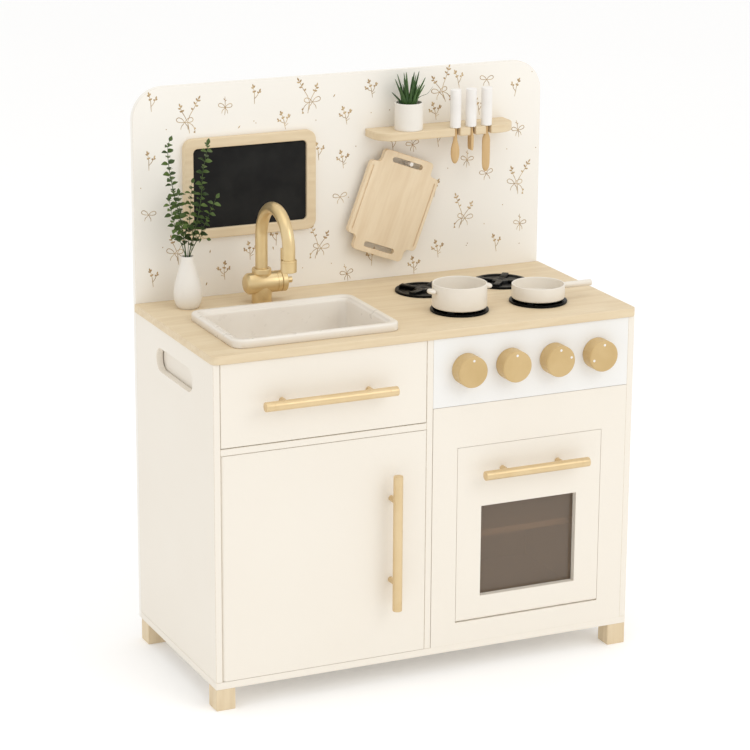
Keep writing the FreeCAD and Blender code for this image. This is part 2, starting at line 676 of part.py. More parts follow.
def pin_rods(name, axis, spots):
    """Hinge pins, or the holes for them, from each spot along the hinge."""
    length = "pin_out + pin_in_door"
    return [rod(f"{name}_{n}", axis, spot, "pin_radius", length) for n, spot in enumerate(spots)]


def hinge_round(name, slab, wanted):
    """Round a door along its hinge, so that it can turn in its opening."""
    return rounded(name, slab, size("panel") / 2 - ROUND_SHORT, wanted)


def cupboard_door():
    """Door with a round hinge edge, turning on two pins."""
    right = f"-{DIVIDER} - door_gap"
    low, high = f"{FLOOR} + door_gap", "shelf_under - door_gap"
    slab = box("cupboard_slab", (f"{PIVOT_X} - {HINGE_IN}", right), ("0", "panel"), (low, high))
    slab = hinge_round("cupboard_edge", slab,
                       lambda edge, box_: along(edge, "z") and near(edge.CenterOfMass.x, box_.XMin))
    spots = [(PIVOT_X, HINGE_IN, start) for start in (f"{low} - pin_out", f"{high} - pin_in_door")]
    holes = pin_rods("cupboard_pin_hole", "z", spots)
    pins = pin_rods("cupboard_pin", "z", spots)
    keep(cut("cupboard_door", slab, holes), "cupboard_door")
    keep(grouped("cupboard_pins", pins), "cupboard_pins")
    handle("cupboard", "z", (f"{right} - door_bar_edge", "door_bar_middle"), "door_bar", "door_posts")


def oven_door():
    """Drop-down door with a window, its pane and two pins."""
    left, right = f"{OVEN_LEFT} + door_gap", f"{OVEN_RIGHT} - door_gap"
    low, high = f"{OVEN_LOW} + door_gap", f"{OVEN_HIGH} - door_gap"
    slab = box("oven_slab", (left, right), ("0", "panel"), (low, high))
    slab = hinge_round("oven_edge", slab,
                       lambda edge, box_: along(edge, "x") and near(edge.CenterOfMass.z, box_.ZMin))
    window_x = (f"{left} + window_margin", f"{right} - window_margin")
    window_z = (f"{low} + window_sill", f"{low} + window_sill + window_height")
    window = box("oven_window", window_x, ("0", "panel"), window_z)
    starts = (f"{left} - pin_out", f"{right} - pin_in_door")
    spots = [(start, HINGE_IN, OVEN_PIVOT_Z) for start in starts]
    holes = pin_rods("oven_pin_hole", "x", spots)
    pins = pin_rods("oven_pin", "x", spots)
    keep(cut("oven_door", slab, [window] + holes), "oven_door")
    keep(grouped("oven_pins", pins), "oven_pins")
    pane = box("oven_glass", (f"{window_x[0]} - glass_lap", f"{window_x[1]} + glass_lap"),
               ("panel", "panel + glass_thick"), (f"{window_z[0]} - glass_lap", f"{window_z[1]} + glass_lap"))
    keep(pane, "oven_glass")
    handle("oven", "x", (BAY_MIDDLE, f"({high} - oven_bar_drop)"), "oven_bar", "oven_posts")


def knobs():
    """Four turned knobs, each with a shaft through the control panel."""
    for index, place in enumerate(KNOB_PLACES, 1):
        x = f"{BAY_MIDDLE} + ({place}) * knob_spacing"
        z = "control_bottom + knob_rise"
        node = f"knob_{index}"
        face = rod(f"{node}_face", "y", (x, "-knob_depth", z), "knob_radius", "knob_depth - knob_gap")
        face = rounded(f"{node}_soft", face, size("knob_soft"), circular_front)
        shaft = rod(f"{node}_shaft", "y", (x, "-knob_depth / 2", z), "shaft_radius",
                    "knob_depth / 2 + shaft_out")
        keep(joined(node, [face, shaft]), node)


# --- sink and faucet --------------------------------------------------------------------

def sink():
    """Drop-in basin: a raised rim round an open bowl."""
    body = new_body("sink_basin", f"-{BAY_MIDDLE} - sink_width / 2", "sink_front", f"{WORKTOP}")
    long = "side_depth - sink_front - sink_behind"
    rim = new_sketch(body, "xy", "sink_rim_outline")
    rectangle(rim, ("0", "sink_width"), ("0", long))
    pad(body, rim, "sink_rim")
    bowl = new_sketch(body, "xy", "sink_bowl_outline")
    rectangle(bowl, ("sink_lip", "sink_width - sink_lip"), ("sink_lip", f"{long} - sink_lip"))
    pad(body, bowl, "sink_deep", reverse=True)
    soften(body, "sink_corner",
           lambda edge, box_: along(edge, "z") and near(edge.CenterOfMass.x, box_.XMin, box_.XMax),
           "sink_rim_corners")
    soften(body, "sink_rim / 3",
           lambda edge, box_: near(edge.BoundBox.ZMin, box_.ZMax),
           "sink_rim_edge")
    hollow = new_sketch(body, "xy", "sink_hollow", "sink_rim")
    inset = "sink_lip + sink_wall"
    rectangle(hollow, (inset, f"sink_width - {inset}"), (inset, f"{long} - {inset}"))
    pocket(body, hollow, "sink_rim + sink_deep - sink_wall")
    keep(body, "sink_basin")


def faucet():
    """Foot, valve body with a collar, turning spout with a nozzle, and a lever."""
    left = f"{FAUCET_X} - valve_left"
    valve = rod("valve_barrel", "x", (left, FAUCET_Y, VALVE_Z), "valve_radius", "valve_left + valve_right")
    valve = rounded("valve_soft", valve, TURNED_ROUND, circular)
    collar = rod("valve_neck", "z", (FAUCET_X, FAUCET_Y, VALVE_Z), "valve_collar", "collar_height")
    seat_low = f"{VALVE_Z} + collar_height - spout_seat"
    seat = rod("valve_seat", "z", (FAUCET_X, FAUCET_Y, f"{seat_low} - seat_play"),
               "spout_radius + pin_play", "spout_seat + seat_play")
    stem_start = f"{FAUCET_X} + valve_right - lever_cap"
    socket = rod("valve_socket", "x", (stem_start, FAUCET_Y, VALVE_Z),
                 "shaft_radius + pin_play", "lever_cap")
    keep(cut("faucet_body", joined("valve_solid", [valve, collar]), [seat, socket]), "faucet_body")

    foot = rod("foot_column", "z", (FAUCET_X, FAUCET_Y, WORKTOP), "faucet_foot", "valve_height")
    hollow = rod("foot_saddle", "x", (left, FAUCET_Y, VALVE_Z), "valve_radius", "valve_left + valve_right")
    keep(cut("faucet_base", foot, [hollow]), "faucet_base")

    arch_z = f"{WORKTOP} + arch_rise"
    column = rod("spout_column", "z", (FAUCET_X, FAUCET_Y, seat_low), "spout_radius",
                 f"{arch_z} - ({seat_low})")
    arch = doc.addObject("Part::Torus", "spout_arch")
    arch.Placement.Rotation = FreeCAD.Rotation(FreeCAD.Vector(1, 1, 1), 120)
    arch.Angle3 = 180
    bind(arch, "Radius1", "arch_radius")
    bind(arch, "Radius2", "spout_radius")
    at(arch, FAUCET_X, f"{FAUCET_Y} - arch_radius", arch_z)
    mouth_y = f"{FAUCET_Y} - 2 * arch_radius"
    leg_low = f"({WORKTOP} + nozzle_rise + nozzle_length - nozzle_cup)"
    leg = rod("spout_leg", "z", (FAUCET_X, mouth_y, leg_low), "spout_radius", f"{arch_z} - {leg_low}")
    keep(joined("faucet_spout", [column, arch, leg]), "faucet_spout")

    mouth = (FAUCET_X, mouth_y, f"{WORKTOP} + nozzle_rise")
    cup = rod("nozzle_sleeve", "z", mouth, "nozzle_radius", "nozzle_length")
    drain = rod("nozzle_mouth", "z", mouth, "spout_radius * 0.7", "nozzle_length")
    holder = rod("nozzle_cup_bore", "z", (FAUCET_X, mouth_y, leg_low), "spout_radius", "nozzle_cup")
    keep(cut("faucet_nozzle", cup, [drain, holder]), "faucet_nozzle")

    cap_x = f"{FAUCET_X} + valve_right + knob_gap"
    cap = rod("lever_cap_disc", "x", (cap_x, FAUCET_Y, VALVE_Z), "valve_radius", "lever_cap")
    cap = rounded("lever_cap_soft", cap, TURNED_ROUND, circular)
    stem = rod("lever_stem", "x", (f"{stem_start} + seat_play", FAUCET_Y, VALVE_Z),
               "shaft_radius", "lever_cap")
    cap_middle = (f"{cap_x} + lever_cap / 2", FAUCET_Y, VALVE_Z)
    grip = rod("lever_grip", "z", cap_middle, "lever_rod", "lever_length")
    stub = rod("lever_knuckle", "x", cap_middle, "lever_stub", "lever_root")
    keep(joined("faucet_lever", [cap, stem, grip, stub]), "faucet_lever")


# --- hob, pot and pan -------------------------------------------------------------------

def burners():
    """Four burners, each a disc with a ring, a centre cap and four pan supports."""
    for side, sign in (("left", "-"), ("right", "+")):
        x = f"{BAY_MIDDLE} + hob_side {sign} hob_width / 2"
        for end, y in (("front", "hob_front"), ("back", "side_depth - hob_behind")):
            node = f"burner_{end}_{side}"
            spot = (x, y, WORKTOP)
            disc = rod(f"{node}_disc", "z", spot, "burner_radius", "burner_disc")
            disc = rounded(f"{node}_disc_soft", disc, DISC_ROUND, circular_top)
            cap = rod(f"{node}_cap", "z", spot, "burner_cap", "burner_cap_high")
            high = (WORKTOP, f"{WORKTOP} + burner_height")
            bars = [box(f"{node}_bar_x", around(x, "prong_reach"), around(y, "prong_width / 2"), high),
                    box(f"{node}_bar_y", around(x, "prong_width / 2"), around(y, "prong_reach"), high)]
            keep(joined(node, [disc, cap] + bars), node)


def vessel(name, place, radius, height):
    """A thin-walled round vessel, as the wall and the hollow to cut from it."""
    x, y, z = place
    outer = rod(f"{name}_outer", "z", place, radius, height)
    outer = rounded(f"{name}_outer_soft", outer, RIM_ROUND, circular)
    hollow = rod(f"{name}_hollow", "z", (x, y, f"{z} + pan_wall"), f"{radius} - pan_wall", height)
    return outer, hollow


def pot_and_pan():
    z = f"{WORKTOP} + burner_height"
    place = (f"{BAY_MIDDLE} + hob_side - hob_width / 2", "hob_front", z)
    outer, hollow = vessel("pot", place, "pot_radius", "pot_height")
    tab_z = f"{z} + tab_low"
    reach = "pot_radius + pot_tab - tab_thick"
    ears = []
    for side, sign in (("left", "-"), ("right", "+")):
        spot = (f"{place[0]} {sign} ({reach})", place[1], tab_z)
        ear = rod(f"pot_tab_{side}", "z", spot, "tab_thick", "tab_thick")
        ears.append(rounded(f"pot_tab_{side}_soft", ear, size("tab_soft"), circular))
    keep(cut("pot", joined("pot_solid", [outer] + ears), [hollow]), "pot")

    place = (f"{BAY_MIDDLE} + hob_side + hob_width / 2", "hob_front", z)
    outer, hollow = vessel("pan", place, "pan_radius", "pan_height")
    root = (f"{place[0]} + pan_radius - pan_wall", place[1], f"{z} + pan_grip_rise")
    grip = rod("pan_handle", "x", root, "pan_grip_radius", "pan_grip + pan_wall")
    keep(cut("pan", joined("pan_solid", [outer, grip]), [hollow]), "pan")


# --- back board fittings ------------------------------------------------------------------

def inner_corner(edge, box_):
    """Corner edges of the frame's opening."""
    border = size("slate_border")
    spot = edge.CenterOfMass
    return (along(edge, "y") and near(spot.x, box_.XMin + border, box_.XMax - border)
            and near(spot.z, box_.ZMin + border, box_.ZMax - border))


def chalkboard():
    """A wooden frame round a dark panel."""
    x = "slate_left - overall_width / 2"
    z = f"{WORKTOP} + slate_low"
    body = new_body("chalkboard_frame", x, "side_depth - slate_thick", z)
    face = new_sketch(body, "xz", "chalkboard_frame_outline")
    rectangle(face, ("0", "slate_width"), ("0", "slate_high"))
    pad(body, face, "slate_thick", reverse=True)
    soften(body, "slate_corner", through, "chalkboard_frame_corners")
    inner = new_sketch(body, "xz", "chalkboard_frame_inner")
    rectangle(inner, ("slate_border", "slate_width - slate_border"),
              ("slate_border", "slate_high - slate_border"))
    pocket(body, inner, "slate_thick")
    soften(body, "slate_inner", inner_corner, "chalkboard_opening_corners")
    keep(body, "chalkboard_frame")

    body = new_body("chalkboard_panel", f"{x} + slate_border", "side_depth - slate_panel",
                    f"{z} + slate_border")
    face = new_sketch(body, "xz", "chalkboard_panel_outline")
    rectangle(face, ("0", "slate_width - 2 * slate_border"), ("0", "slate_high - 2 * slate_border"))
    pad(body, face, "slate_panel", reverse=True)
    soften(body, "slate_inner", through, "chalkboard_panel_corners")
    keep(body, "chalkboard_panel")


def wall_shelf():
    """A shelf with round front corners and three notches for the utensils."""
    body = new_body("wall_shelf", "rack_left", "side_depth - rack_depth", "rack_top - rack_thick")
    plate = new_sketch(body, "xy", "wall_shelf_outline")
    rectangle(plate, ("0", "rack_width"), ("0", "rack_depth"))
    pad(body, plate, "rack_thick")
    soften(body, "rack_corner", upright_front, "wall_shelf_corners")
    cuts = new_sketch(body, "xy", "wall_shelf_notches", "rack_thick")
    for index in range(3):
        x = f"notch_first + {index} * notch_step"
        rectangle(cuts, around(x, "notch_width / 2"), ("0", "notch_deep"))
    pocket(body, cuts, "rack_thick")
    keep(body, "wall_shelf")
    spot = ("peg_side", "side_depth - peg_length", "peg_height")
    peg = rod("board_peg", "y", spot, "peg_radius", "peg_length")
    peg = rounded("board_peg_soft", peg, DISC_ROUND, circular_front)
    keep(peg, "board_peg")


def cutting_board():
    """A board with end tabs, two slots and two grooves, hanging tilted on the peg."""
    body = doc.addObject("PartDesign::Body", "cutting_board")
    lean = math.radians(CHOP_TILT)
    body.Placement.Rotation = FreeCAD.Rotation(FreeCAD.Vector(0, 1, 0), CHOP_TILT)
    drop = "(chop_slot_at + chop_slot_high / 2 - peg_radius - chop_rest_gap)"
    across, up = math.cos(lean), math.sin(lean)
    x = f"peg_side - chop_off_peg * {across:.9f} - {drop} * {up:.9f}"
    z = f"peg_height + chop_off_peg * {up:.9f} - {drop} * {across:.9f}"
    at(body, x, "side_depth - chop_behind - chop_thick", z)
    wide, tab, mid, end = "chop_width / 2", "chop_tab / 2", "chop_body / 2", "chop_length / 2"
    quarter = [(wide, mid), (tab, mid), (tab, end)]
    outline = []
    for sx, sz, order in (("", "", 1), ("-", "", -1), ("-", "-", 1), ("", "-", -1)):
        outline += [(f"{sx}({px})", f"{sz}({pz})") for px, pz in quarter[::order]]
    face = new_sketch(body, "xz", "cutting_board_outline")
    polygon(face, outline)
    pad(body, face, "chop_thick", reverse=True)
    soften(body, "chop_corner", through, "cutting_board_corners")
    slots = new_sketch(body, "xz", "cutting_board_slots")
    for sign in "+-":
        middle = f"{sign}chop_slot_at"
        stadium(slots, ("-chop_slot / 2", "chop_slot / 2"), around(middle, "chop_slot_high / 2"))
    pocket(body, slots, "chop_thick")
    grooves = new_sketch(body, "xz", "cutting_board_grooves")
    for sign in "+-":
        x = f"{sign}chop_groove_at"
        rectangle(grooves, around(x, "chop_groove_wide / 2"), ("-chop_groove / 2", "chop_groove / 2"))
    pocket(body, grooves, "chop_groove_deep")
    keep(body, "cutting_board")


def neck(tool, x, top, low):
    """The square neck that passes through a notch."""
    return box(f"{tool}_neck", around(x, "neck_thick / 2"), around(TOOL_Y, "neck_thick / 2"), (low, top))


def spoon_shape(x, top):
    """A narrow neck and a round bowl trimmed to its width; it faces the front."""
    low = f"{top} - spoon_drop"
    middle = f"{low} + spoon_bowl / 2"
    thick = around(TOOL_Y, "neck_thick / 2")
    bowl = rod("spoon_bowl_disc", "y", (x, thick[0], middle), "spoon_bowl / 2", "neck_thick")
    trim = box("spoon_trim", around(x, "spoon_width / 2"), thick, (low, f"{low} + spoon_bowl"))
    oval = doc.addObject("Part::Common", "spoon_oval")
    oval.Base = bowl
    oval.Tool = trim
    return [neck("spoon", x, top, middle), oval]


def fork_shape(x, top):
    """A flat blade, seen on its edge, with two slits between three tines."""
    low = f"{top} - fork_drop"
    flat = around(x, "neck_thick / 2")
    blade = box("fork_blade", flat, around(TOOL_Y, "fork_width / 2"), (low, top))
    slits = []
    for side, sign in (("front", "-"), ("back", "+")):
        y = f"{TOOL_Y} {sign} fork_width / 6"
        long = (low, f"{low} + tine_length")
        slits.append(box(f"fork_slit_{side}", flat, around(y, "fork_slit / 2"), long))
    return [cut("fork_tines", blade, slits)]


def knife_shape(x, top):
    """A flat blade with a round tip; it faces the front."""
    start = f"{top} - neck_length"
    blade = box("knife_blade", around(x, "knife_width / 2"), around(TOOL_Y, "neck_thick / 2"),
                (f"{top} - knife_drop", start))
    tip = size("knife_width") * KNIFE_ROUND
    blade = rounded("knife_tip", blade, tip,
                    lambda edge, box_: along(edge, "y") and near(edge.CenterOfMass.z, box_.ZMin))
    return [neck("knife", x, top, start), blade]


def utensils():
    """Spoon, fork and knife: a round handle on the shelf and a flat head in a notch."""
    shapes = (("spoon", spoon_shape), ("fork", fork_shape), ("knife", knife_shape))
    for index, (tool, head_shape) in enumerate(shapes):
        x = f"rack_left + notch_first + {index} * notch_step"
        spot = (x, TOOL_Y, "rack_top")
        grip = rod(f"{tool}_grip", "z", spot, "grip_radius", "grip_tall")
        grip = rounded(f"{tool}_grip_soft", grip, BAR_ROUND, circular)
        bore = rod(f"{tool}_bore", "z", spot, "tang_radius", "tang_length")
        keep(cut(f"{tool}_handle", grip, [bore]), f"{tool}_handle")
        tang = rod(f"{tool}_tang", "z", spot, "tang_radius", "tang_length")
        pieces = head_shape(x, "rack_top")
        keep(joined(f"{tool}_head", [tang] + pieces), f"{tool}_head")


# --- plants -----------------------------------------------------------------------------

def from_shape(node, shape, x, y, z):
    """A piece that only a free shape fits; its size comes from the sheet."""
    obj = doc.addObject("Part::Feature", node)
    obj.Shape = shape
    at(obj, x, y, z)
    return keep(obj, node)


def turned(points):
    """A closed shape of revolution from a smooth outline given as (radius, height)."""
    curve = Part.BSplineCurve()
    curve.interpolate([FreeCAD.Vector(radius, 0, height) for radius, height in points])
    low, high = points[0][1], points[-1][1]
    edges = [curve.toShape(),
             Part.makeLine(FreeCAD.Vector(points[-1][0], 0, high), FreeCAD.Vector(0, 0, high)),
             Part.makeLine(FreeCAD.Vector(0, 0, high), FreeCAD.Vector(0, 0, low)),
             Part.makeLine(FreeCAD.Vector(0, 0, low), FreeCAD.Vector(points[0][0], 0, low))]
    face = Part.Face(Part.Wire(edges))
    return face.revolve(FreeCAD.Vector(0, 0, 0), FreeCAD.Vector(0, 0, 1), 360)


def vase_outline(inset, low):
    """Teardrop outline, drawn in by a wall thickness and cut off below a height."""
    names = ("vase_foot", "vase_belly", "vase_neck", "vase_height", "neck_flare")
    foot, belly, neck, tall, flare = (size(name) for name in names)
    shoulder_at, shoulder_share = VASE_SHOULDER
    return [(foot - inset, low),
            (belly - inset, VASE_BELLY_AT * tall),
            (shoulder_share * belly - inset, shoulder_at * tall),
            (neck + flare - inset, VASE_THROAT_AT * tall),
            (neck - inset, tall)]


def vase():
    wall = size("vase_wall")
    outer = turned(vase_outline(0, 0))
    shape = outer.cut(turned(vase_outline(wall, wall)))
    place = ("vase_side - overall_width / 2", "side_depth - vase_behind", WORKTOP)
    from_shape("vase", shape, *place)

    radius, tall, mouth = size("stem_radius"), size("sprig_height"), size("vase_height")
    solids = []
    for lean, share, start in SPRIGS:
        foot = FreeCAD.Vector(start, 0, 2 * wall)
        rim = FreeCAD.Vector(start, 0, mouth)
        tip = FreeCAD.Vector(lean, 0, tall * share)
        for low, high in ((foot, rim), (rim, tip)):
            solids.append(Part.makeCylinder(radius, (high - low).Length, low, high - low))
        solids.append(Part.makeSphere(radius, rim))
        for step in range(LEAVES_PER_SPRIG):
            spot = rim + (tip - rim) * (FIRST_LEAF + LEAF_STEP * step)
            side = 1 if step % 2 else -1
            solids.append(leaf_blade(spot, side * size("leaf_reach") * (1 - LEAF_SHRINK * step)))
    from_shape("vase_sprigs", solids[0].multiFuse(solids[1:]), *place)


def leaf_blade(spot, reach):
    """A flat pointed leaf that starts at the spot and points sideways and up."""
    length = abs(reach)
    root, tip = FreeCAD.Vector(0, 0, 0), FreeCAD.Vector(length, 0, 0)
    half = size("leaf_width") / 2
    edges = [Part.Arc(root, FreeCAD.Vector(length / 2, 0, half), tip).toShape(),
             Part.Arc(tip, FreeCAD.Vector(length / 2, 0, -half), root).toShape()]
    blade = Part.Face(Part.Wire(edges)).extrude(FreeCAD.Vector(0, size("leaf_thick"), 0))
    blade.translate(FreeCAD.Vector(0, -size("leaf_thick") / 2, 0))
    turn = -LEAF_LEAN if reach > 0 else LEAF_LEAN - 180
    blade.rotate(root, FreeCAD.Vector(0, 1, 0), turn)
    blade.translate(spot)
    return blade


def planter():
    x, y, z = "rack_left + planter_side", "side_depth - planter_behind", "rack_top"
    outer = rod("planter_outer", "z", (x, y, z), "planter_radius", "planter_height")
    outer = rounded("planter_soft", outer, BAR_ROUND, circular)
    inner = rod("planter_hollow", "z", (x, y, f"{z} + planter_wall"),
                "planter_radius - planter_wall", "planter_height")
    keep(cut("planter_pot", outer, [inner]), "planter_pot")
    soil_z = f"{z} + planter_height - soil_low - soil_deep"
    soil = rod("planter_soil", "z", (x, y, soil_z), "planter_radius - planter_wall", "soil_deep")
    keep(soil, "planter_soil")

    from_shape("succulent", succulent_shape(), x, y, f"{z} + planter_height - soil_low")


def succulent_shape():
    """A low crown with rings of pointed leaves, the outer ones leaning out and shorter."""
    rise = size("leaf_rise") + size("soil_low") - size("spike_low")
    solids = [Part.makeCone(size("crown_radius"), size("crown_top"), size("crown_high"))]
    for ring, (count, lean, share) in enumerate(SPIKE_RINGS):
        tilt = math.radians(lean)
        for index in range(count):
            turn = math.radians(360 * (index + 0.5 * (ring % 2)) / count)
            out = FreeCAD.Vector(math.cos(turn), math.sin(turn), 0)
            way = out * math.sin(tilt) + FreeCAD.Vector(0, 0, math.cos(tilt))
            root = out * size("spike_from") + FreeCAD.Vector(0, 0, size("spike_low"))
            spike = Part.makeCone(size("spike_radius"), size("spike_tip"), rise * share, root, way)
            solids.append(spike)
    return solids[0].multiFuse(solids[1:])


# --- build, check and write ---------------------------------------------------------------

side_panels()
carcass_boards()
back_board()
worktop()
right_front()
catches()
drawer()
cupboard_door()
oven_door()
knobs()
sink()
faucet()
burners()
pot_and_pan()
chalkboard()
wall_shelf()
cutting_board()
utensils()
vase()
planter()
doc.recompute()

for obj in doc.Objects:
    if "Invalid" in obj.State or "Error" in obj.State:
        raise ValueError(f"{obj.Name} failed: {obj.State}")
for node, obj in subparts.items():
    if obj.Shape.isNull() or not obj.Shape.isValid() or not obj.Shape.Solids:
        raise ValueError(f"{node} has no sound solid")

os.makedirs("parts", exist_ok=True)
for node, obj in subparts.items():
    obj.Shape.exportStep(f"parts/{node}.step")
print(f"{len(subparts)} sub-parts written")
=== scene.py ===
# %% [markdown]
# # A wooden toy kitchen
# A child's kitchen of painted boards with a light wooden worktop, a printed back board, a sink
# with a golden faucet, a hob with four knobs, a drawer and two doors.
# The measured model comes in as a fixed frame: its bodies move, its meshes stay as they are.
# Each piece below either stands for one of its nodes or gives the node a better finish.

# %% Load the frame
import json
import math
import random

import bmesh
import bpy
from mathutils import Matrix, Vector

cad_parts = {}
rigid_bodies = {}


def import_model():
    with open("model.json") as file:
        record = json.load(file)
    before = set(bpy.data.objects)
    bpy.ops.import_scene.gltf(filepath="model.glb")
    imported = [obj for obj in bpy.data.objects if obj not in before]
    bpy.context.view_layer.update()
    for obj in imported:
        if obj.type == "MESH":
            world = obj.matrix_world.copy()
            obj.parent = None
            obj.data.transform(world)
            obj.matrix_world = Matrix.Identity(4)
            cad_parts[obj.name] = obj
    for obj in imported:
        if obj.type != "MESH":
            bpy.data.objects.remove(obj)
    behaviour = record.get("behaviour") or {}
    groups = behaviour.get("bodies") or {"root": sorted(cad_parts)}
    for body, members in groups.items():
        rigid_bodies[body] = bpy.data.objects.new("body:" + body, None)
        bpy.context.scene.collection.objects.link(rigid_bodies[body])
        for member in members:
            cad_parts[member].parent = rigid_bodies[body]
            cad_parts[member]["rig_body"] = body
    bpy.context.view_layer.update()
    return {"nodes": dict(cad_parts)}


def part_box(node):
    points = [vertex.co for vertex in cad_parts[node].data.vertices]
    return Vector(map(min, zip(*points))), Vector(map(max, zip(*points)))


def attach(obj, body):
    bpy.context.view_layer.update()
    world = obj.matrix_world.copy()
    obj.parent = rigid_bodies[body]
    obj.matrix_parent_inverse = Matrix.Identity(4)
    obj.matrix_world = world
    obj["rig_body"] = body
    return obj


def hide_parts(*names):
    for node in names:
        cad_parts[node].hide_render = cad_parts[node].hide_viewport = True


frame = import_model()
nodes = frame["nodes"]
MM = 0.001

# %% [markdown]
# ## Camera
# A product picture is taken from well back with a long lens, so the upright edges stay parallel.
# The camera stands to the left of the kitchen, a little above the worktop.

# %% Camera
camera = bpy.data.objects.new("camera", bpy.data.cameras.new("camera"))
bpy.context.scene.collection.objects.link(camera)
right = Vector((0.90943, -0.41581, 0.00594))
up = Vector((0.11095, 0.25638, 0.96019))
back = right.cross(up)
turn = Matrix((right, up, back)).transposed().to_4x4()
camera.matrix_world = Matrix.Translation((-1.51044, -3.24856, 1.42645)) @ turn
camera.data.lens = 134.4
camera.data.shift_x = -0.0003
camera.data.shift_y = -0.0025
camera.data.clip_end = 60
bpy.context.scene.camera = camera
print("camera at", [round(value, 2) for value in camera.location])

# %% [markdown]
# ## Light
# A white room lights the kitchen evenly from all sides, so that shadows stay soft and pale. One
# large weak lamp on the right in front makes the fronts a little brighter than the left side,
# and one overhead lifts the worktop.

# %% Light
scene = bpy.context.scene
scene.view_settings.view_transform = "Standard"
world = bpy.data.worlds.new("studio")
scene.world = world
world.use_nodes = True
glow = world.node_tree.nodes["Background"]
glow.inputs["Color"].default_value = (1.0, 1.0, 0.995, 1.0)
glow.inputs["Strength"].default_value = 0.9


def lamp(name, place, aim, width, power, warmth):
    """A square soft box that looks at a point."""
    light = bpy.data.lights.new(name, "AREA")
    light.size = width
    light.energy = power
    light.color = warmth
    item = bpy.data.objects.new(name, light)
    item.location = place
    item.rotation_euler = (Vector(aim) - Vector(place)).to_track_quat("-Z", "Y").to_euler()
    scene.collection.objects.link(item)
    return item


lamp("key", (1.3, -2.6, 2.3), (0, 0, 0.4), 1.8, 16, (1.0, 1.0, 0.99))
lamp("top", (-0.3, -0.3, 3.0), (0, 0, 0.5), 2.2, 10, (1.0, 1.0, 0.99))

# %% [markdown]
# ## Shader helpers
# Colours are easier to choose as screen values from 0 to 255, but shaders work in linear light.
# One small function adds a node and fills its sockets, so each finish below stays short.

# %% Shader helpers
def tone(red, green, blue):
    """A screen colour as the linear colour that shaders use."""
    linear = []
    for value in (red, green, blue):
        value = value / 255
        linear.append(value / 12.92 if value <= 0.04045 else ((value + 0.055) / 1.055) ** 2.4)
    return (*linear, 1.0)


def add(tree, kind, sockets=None, **settings):
    """A node with its settings; a socket gets a value or a link."""
    made = tree.nodes.new(kind)
    for key, value in settings.items():
        setattr(made, key, value)
    for key, value in (sockets or {}).items():
        if isinstance(value, bpy.types.NodeSocket):
            tree.links.new(value, made.inputs[key])
        else:
            made.inputs[key].default_value = value
    return made


def mixed(tree, amount, first, second):
    """The colour between two colours."""
    made = add(tree, "ShaderNodeMix", {0: amount, 6: first, 7: second}, data_type="RGBA")
    return made.outputs[2]


def ranged(tree, value, low, high, new_low, new_high):
    """The value moved from one range to another."""
    sockets = {"Value": value, "From Min": low, "From Max": high, "To Min": new_low, "To Max": new_high}
    return add(tree, "ShaderNodeMapRange", sockets).outputs["Result"]


def noise(tree, vector, scale, detail):
    return add(tree, "ShaderNodeTexNoise",
               {"Vector": vector, "Scale": scale, "Detail": detail}).outputs["Fac"]


def times(tree, first, second):
    return add(tree, "ShaderNodeMath", {0: first, 1: second}, operation="MULTIPLY").outputs[0]


def stretched(tree, vector, scale):
    """Coordinates scaled by a different amount along each axis."""
    return add(tree, "ShaderNodeVectorMath", {0: vector, 1: scale}, operation="MULTIPLY").outputs[0]


def new_group(name, inputs, outputs):
    """An empty shader node group with named sockets."""
    tree = bpy.data.node_groups.new(name, "ShaderNodeTree")
    for label, kind in inputs:
        tree.interface.new_socket(name=label, in_out="INPUT", socket_type="NodeSocket" + kind)
    for label, kind in outputs:
        tree.interface.new_socket(name=label, in_out="OUTPUT", socket_type="NodeSocket" + kind)
    return tree, tree.nodes.new("NodeGroupInput").outputs, tree.nodes.new("NodeGroupOutput").inputs


# %% [markdown]
# ## Sprayed paint
# The boards are sprayed, not brushed: the colour is even, with a faint cloudiness, the surface
# has the fine dimples of spray paint, and the paint is thinner and a little darker on eased
# edges. The edge faces carry an "ease" attribute, which the modelling helpers below write.

# %% Paint group
paint_tree, source, result = new_group(
    "sprayed_paint",
    [("Vector", "Vector"), ("Colour", "Color"), ("Shade", "Color"), ("Edge", "Color"), ("Ease", "Float")],
    [("Colour", "Color"), ("Roughness", "Float"), ("Height", "Float")])
cloud = noise(paint_tree, source["Vector"], 6.0, 3.0)
speck = noise(paint_tree, source["Vector"], 240.0, 2.0)
peel = noise(paint_tree, source["Vector"], 620.0, 2.0)
patch = ranged(paint_tree, cloud, 0.35, 0.65, 0.0, 0.35)
even = mixed(paint_tree, patch, source["Colour"], source["Shade"])
thin = times(paint_tree, source["Ease"], ranged(paint_tree, speck, 0.3, 0.6, 0.15, 0.6))
paint_tree.links.new(mixed(paint_tree, thin, even, source["Edge"]), result["Colour"])
paint_tree.links.new(ranged(paint_tree, cloud, 0.3, 0.7, 0.42, 0.5), result["Roughness"])
paint_tree.links.new(peel, result["Height"])
print("paint group sockets:", len(paint_tree.interface.items_tree))

# %% [markdown]
# ## Wood grain
# Light maple has long soft streaks, fine fibres and short pores, all along one direction. The
# group expects coordinates whose X runs along the grain. Rings about that axis give the soft
# growth lines, and two stretched noises give the fibres and the pores.

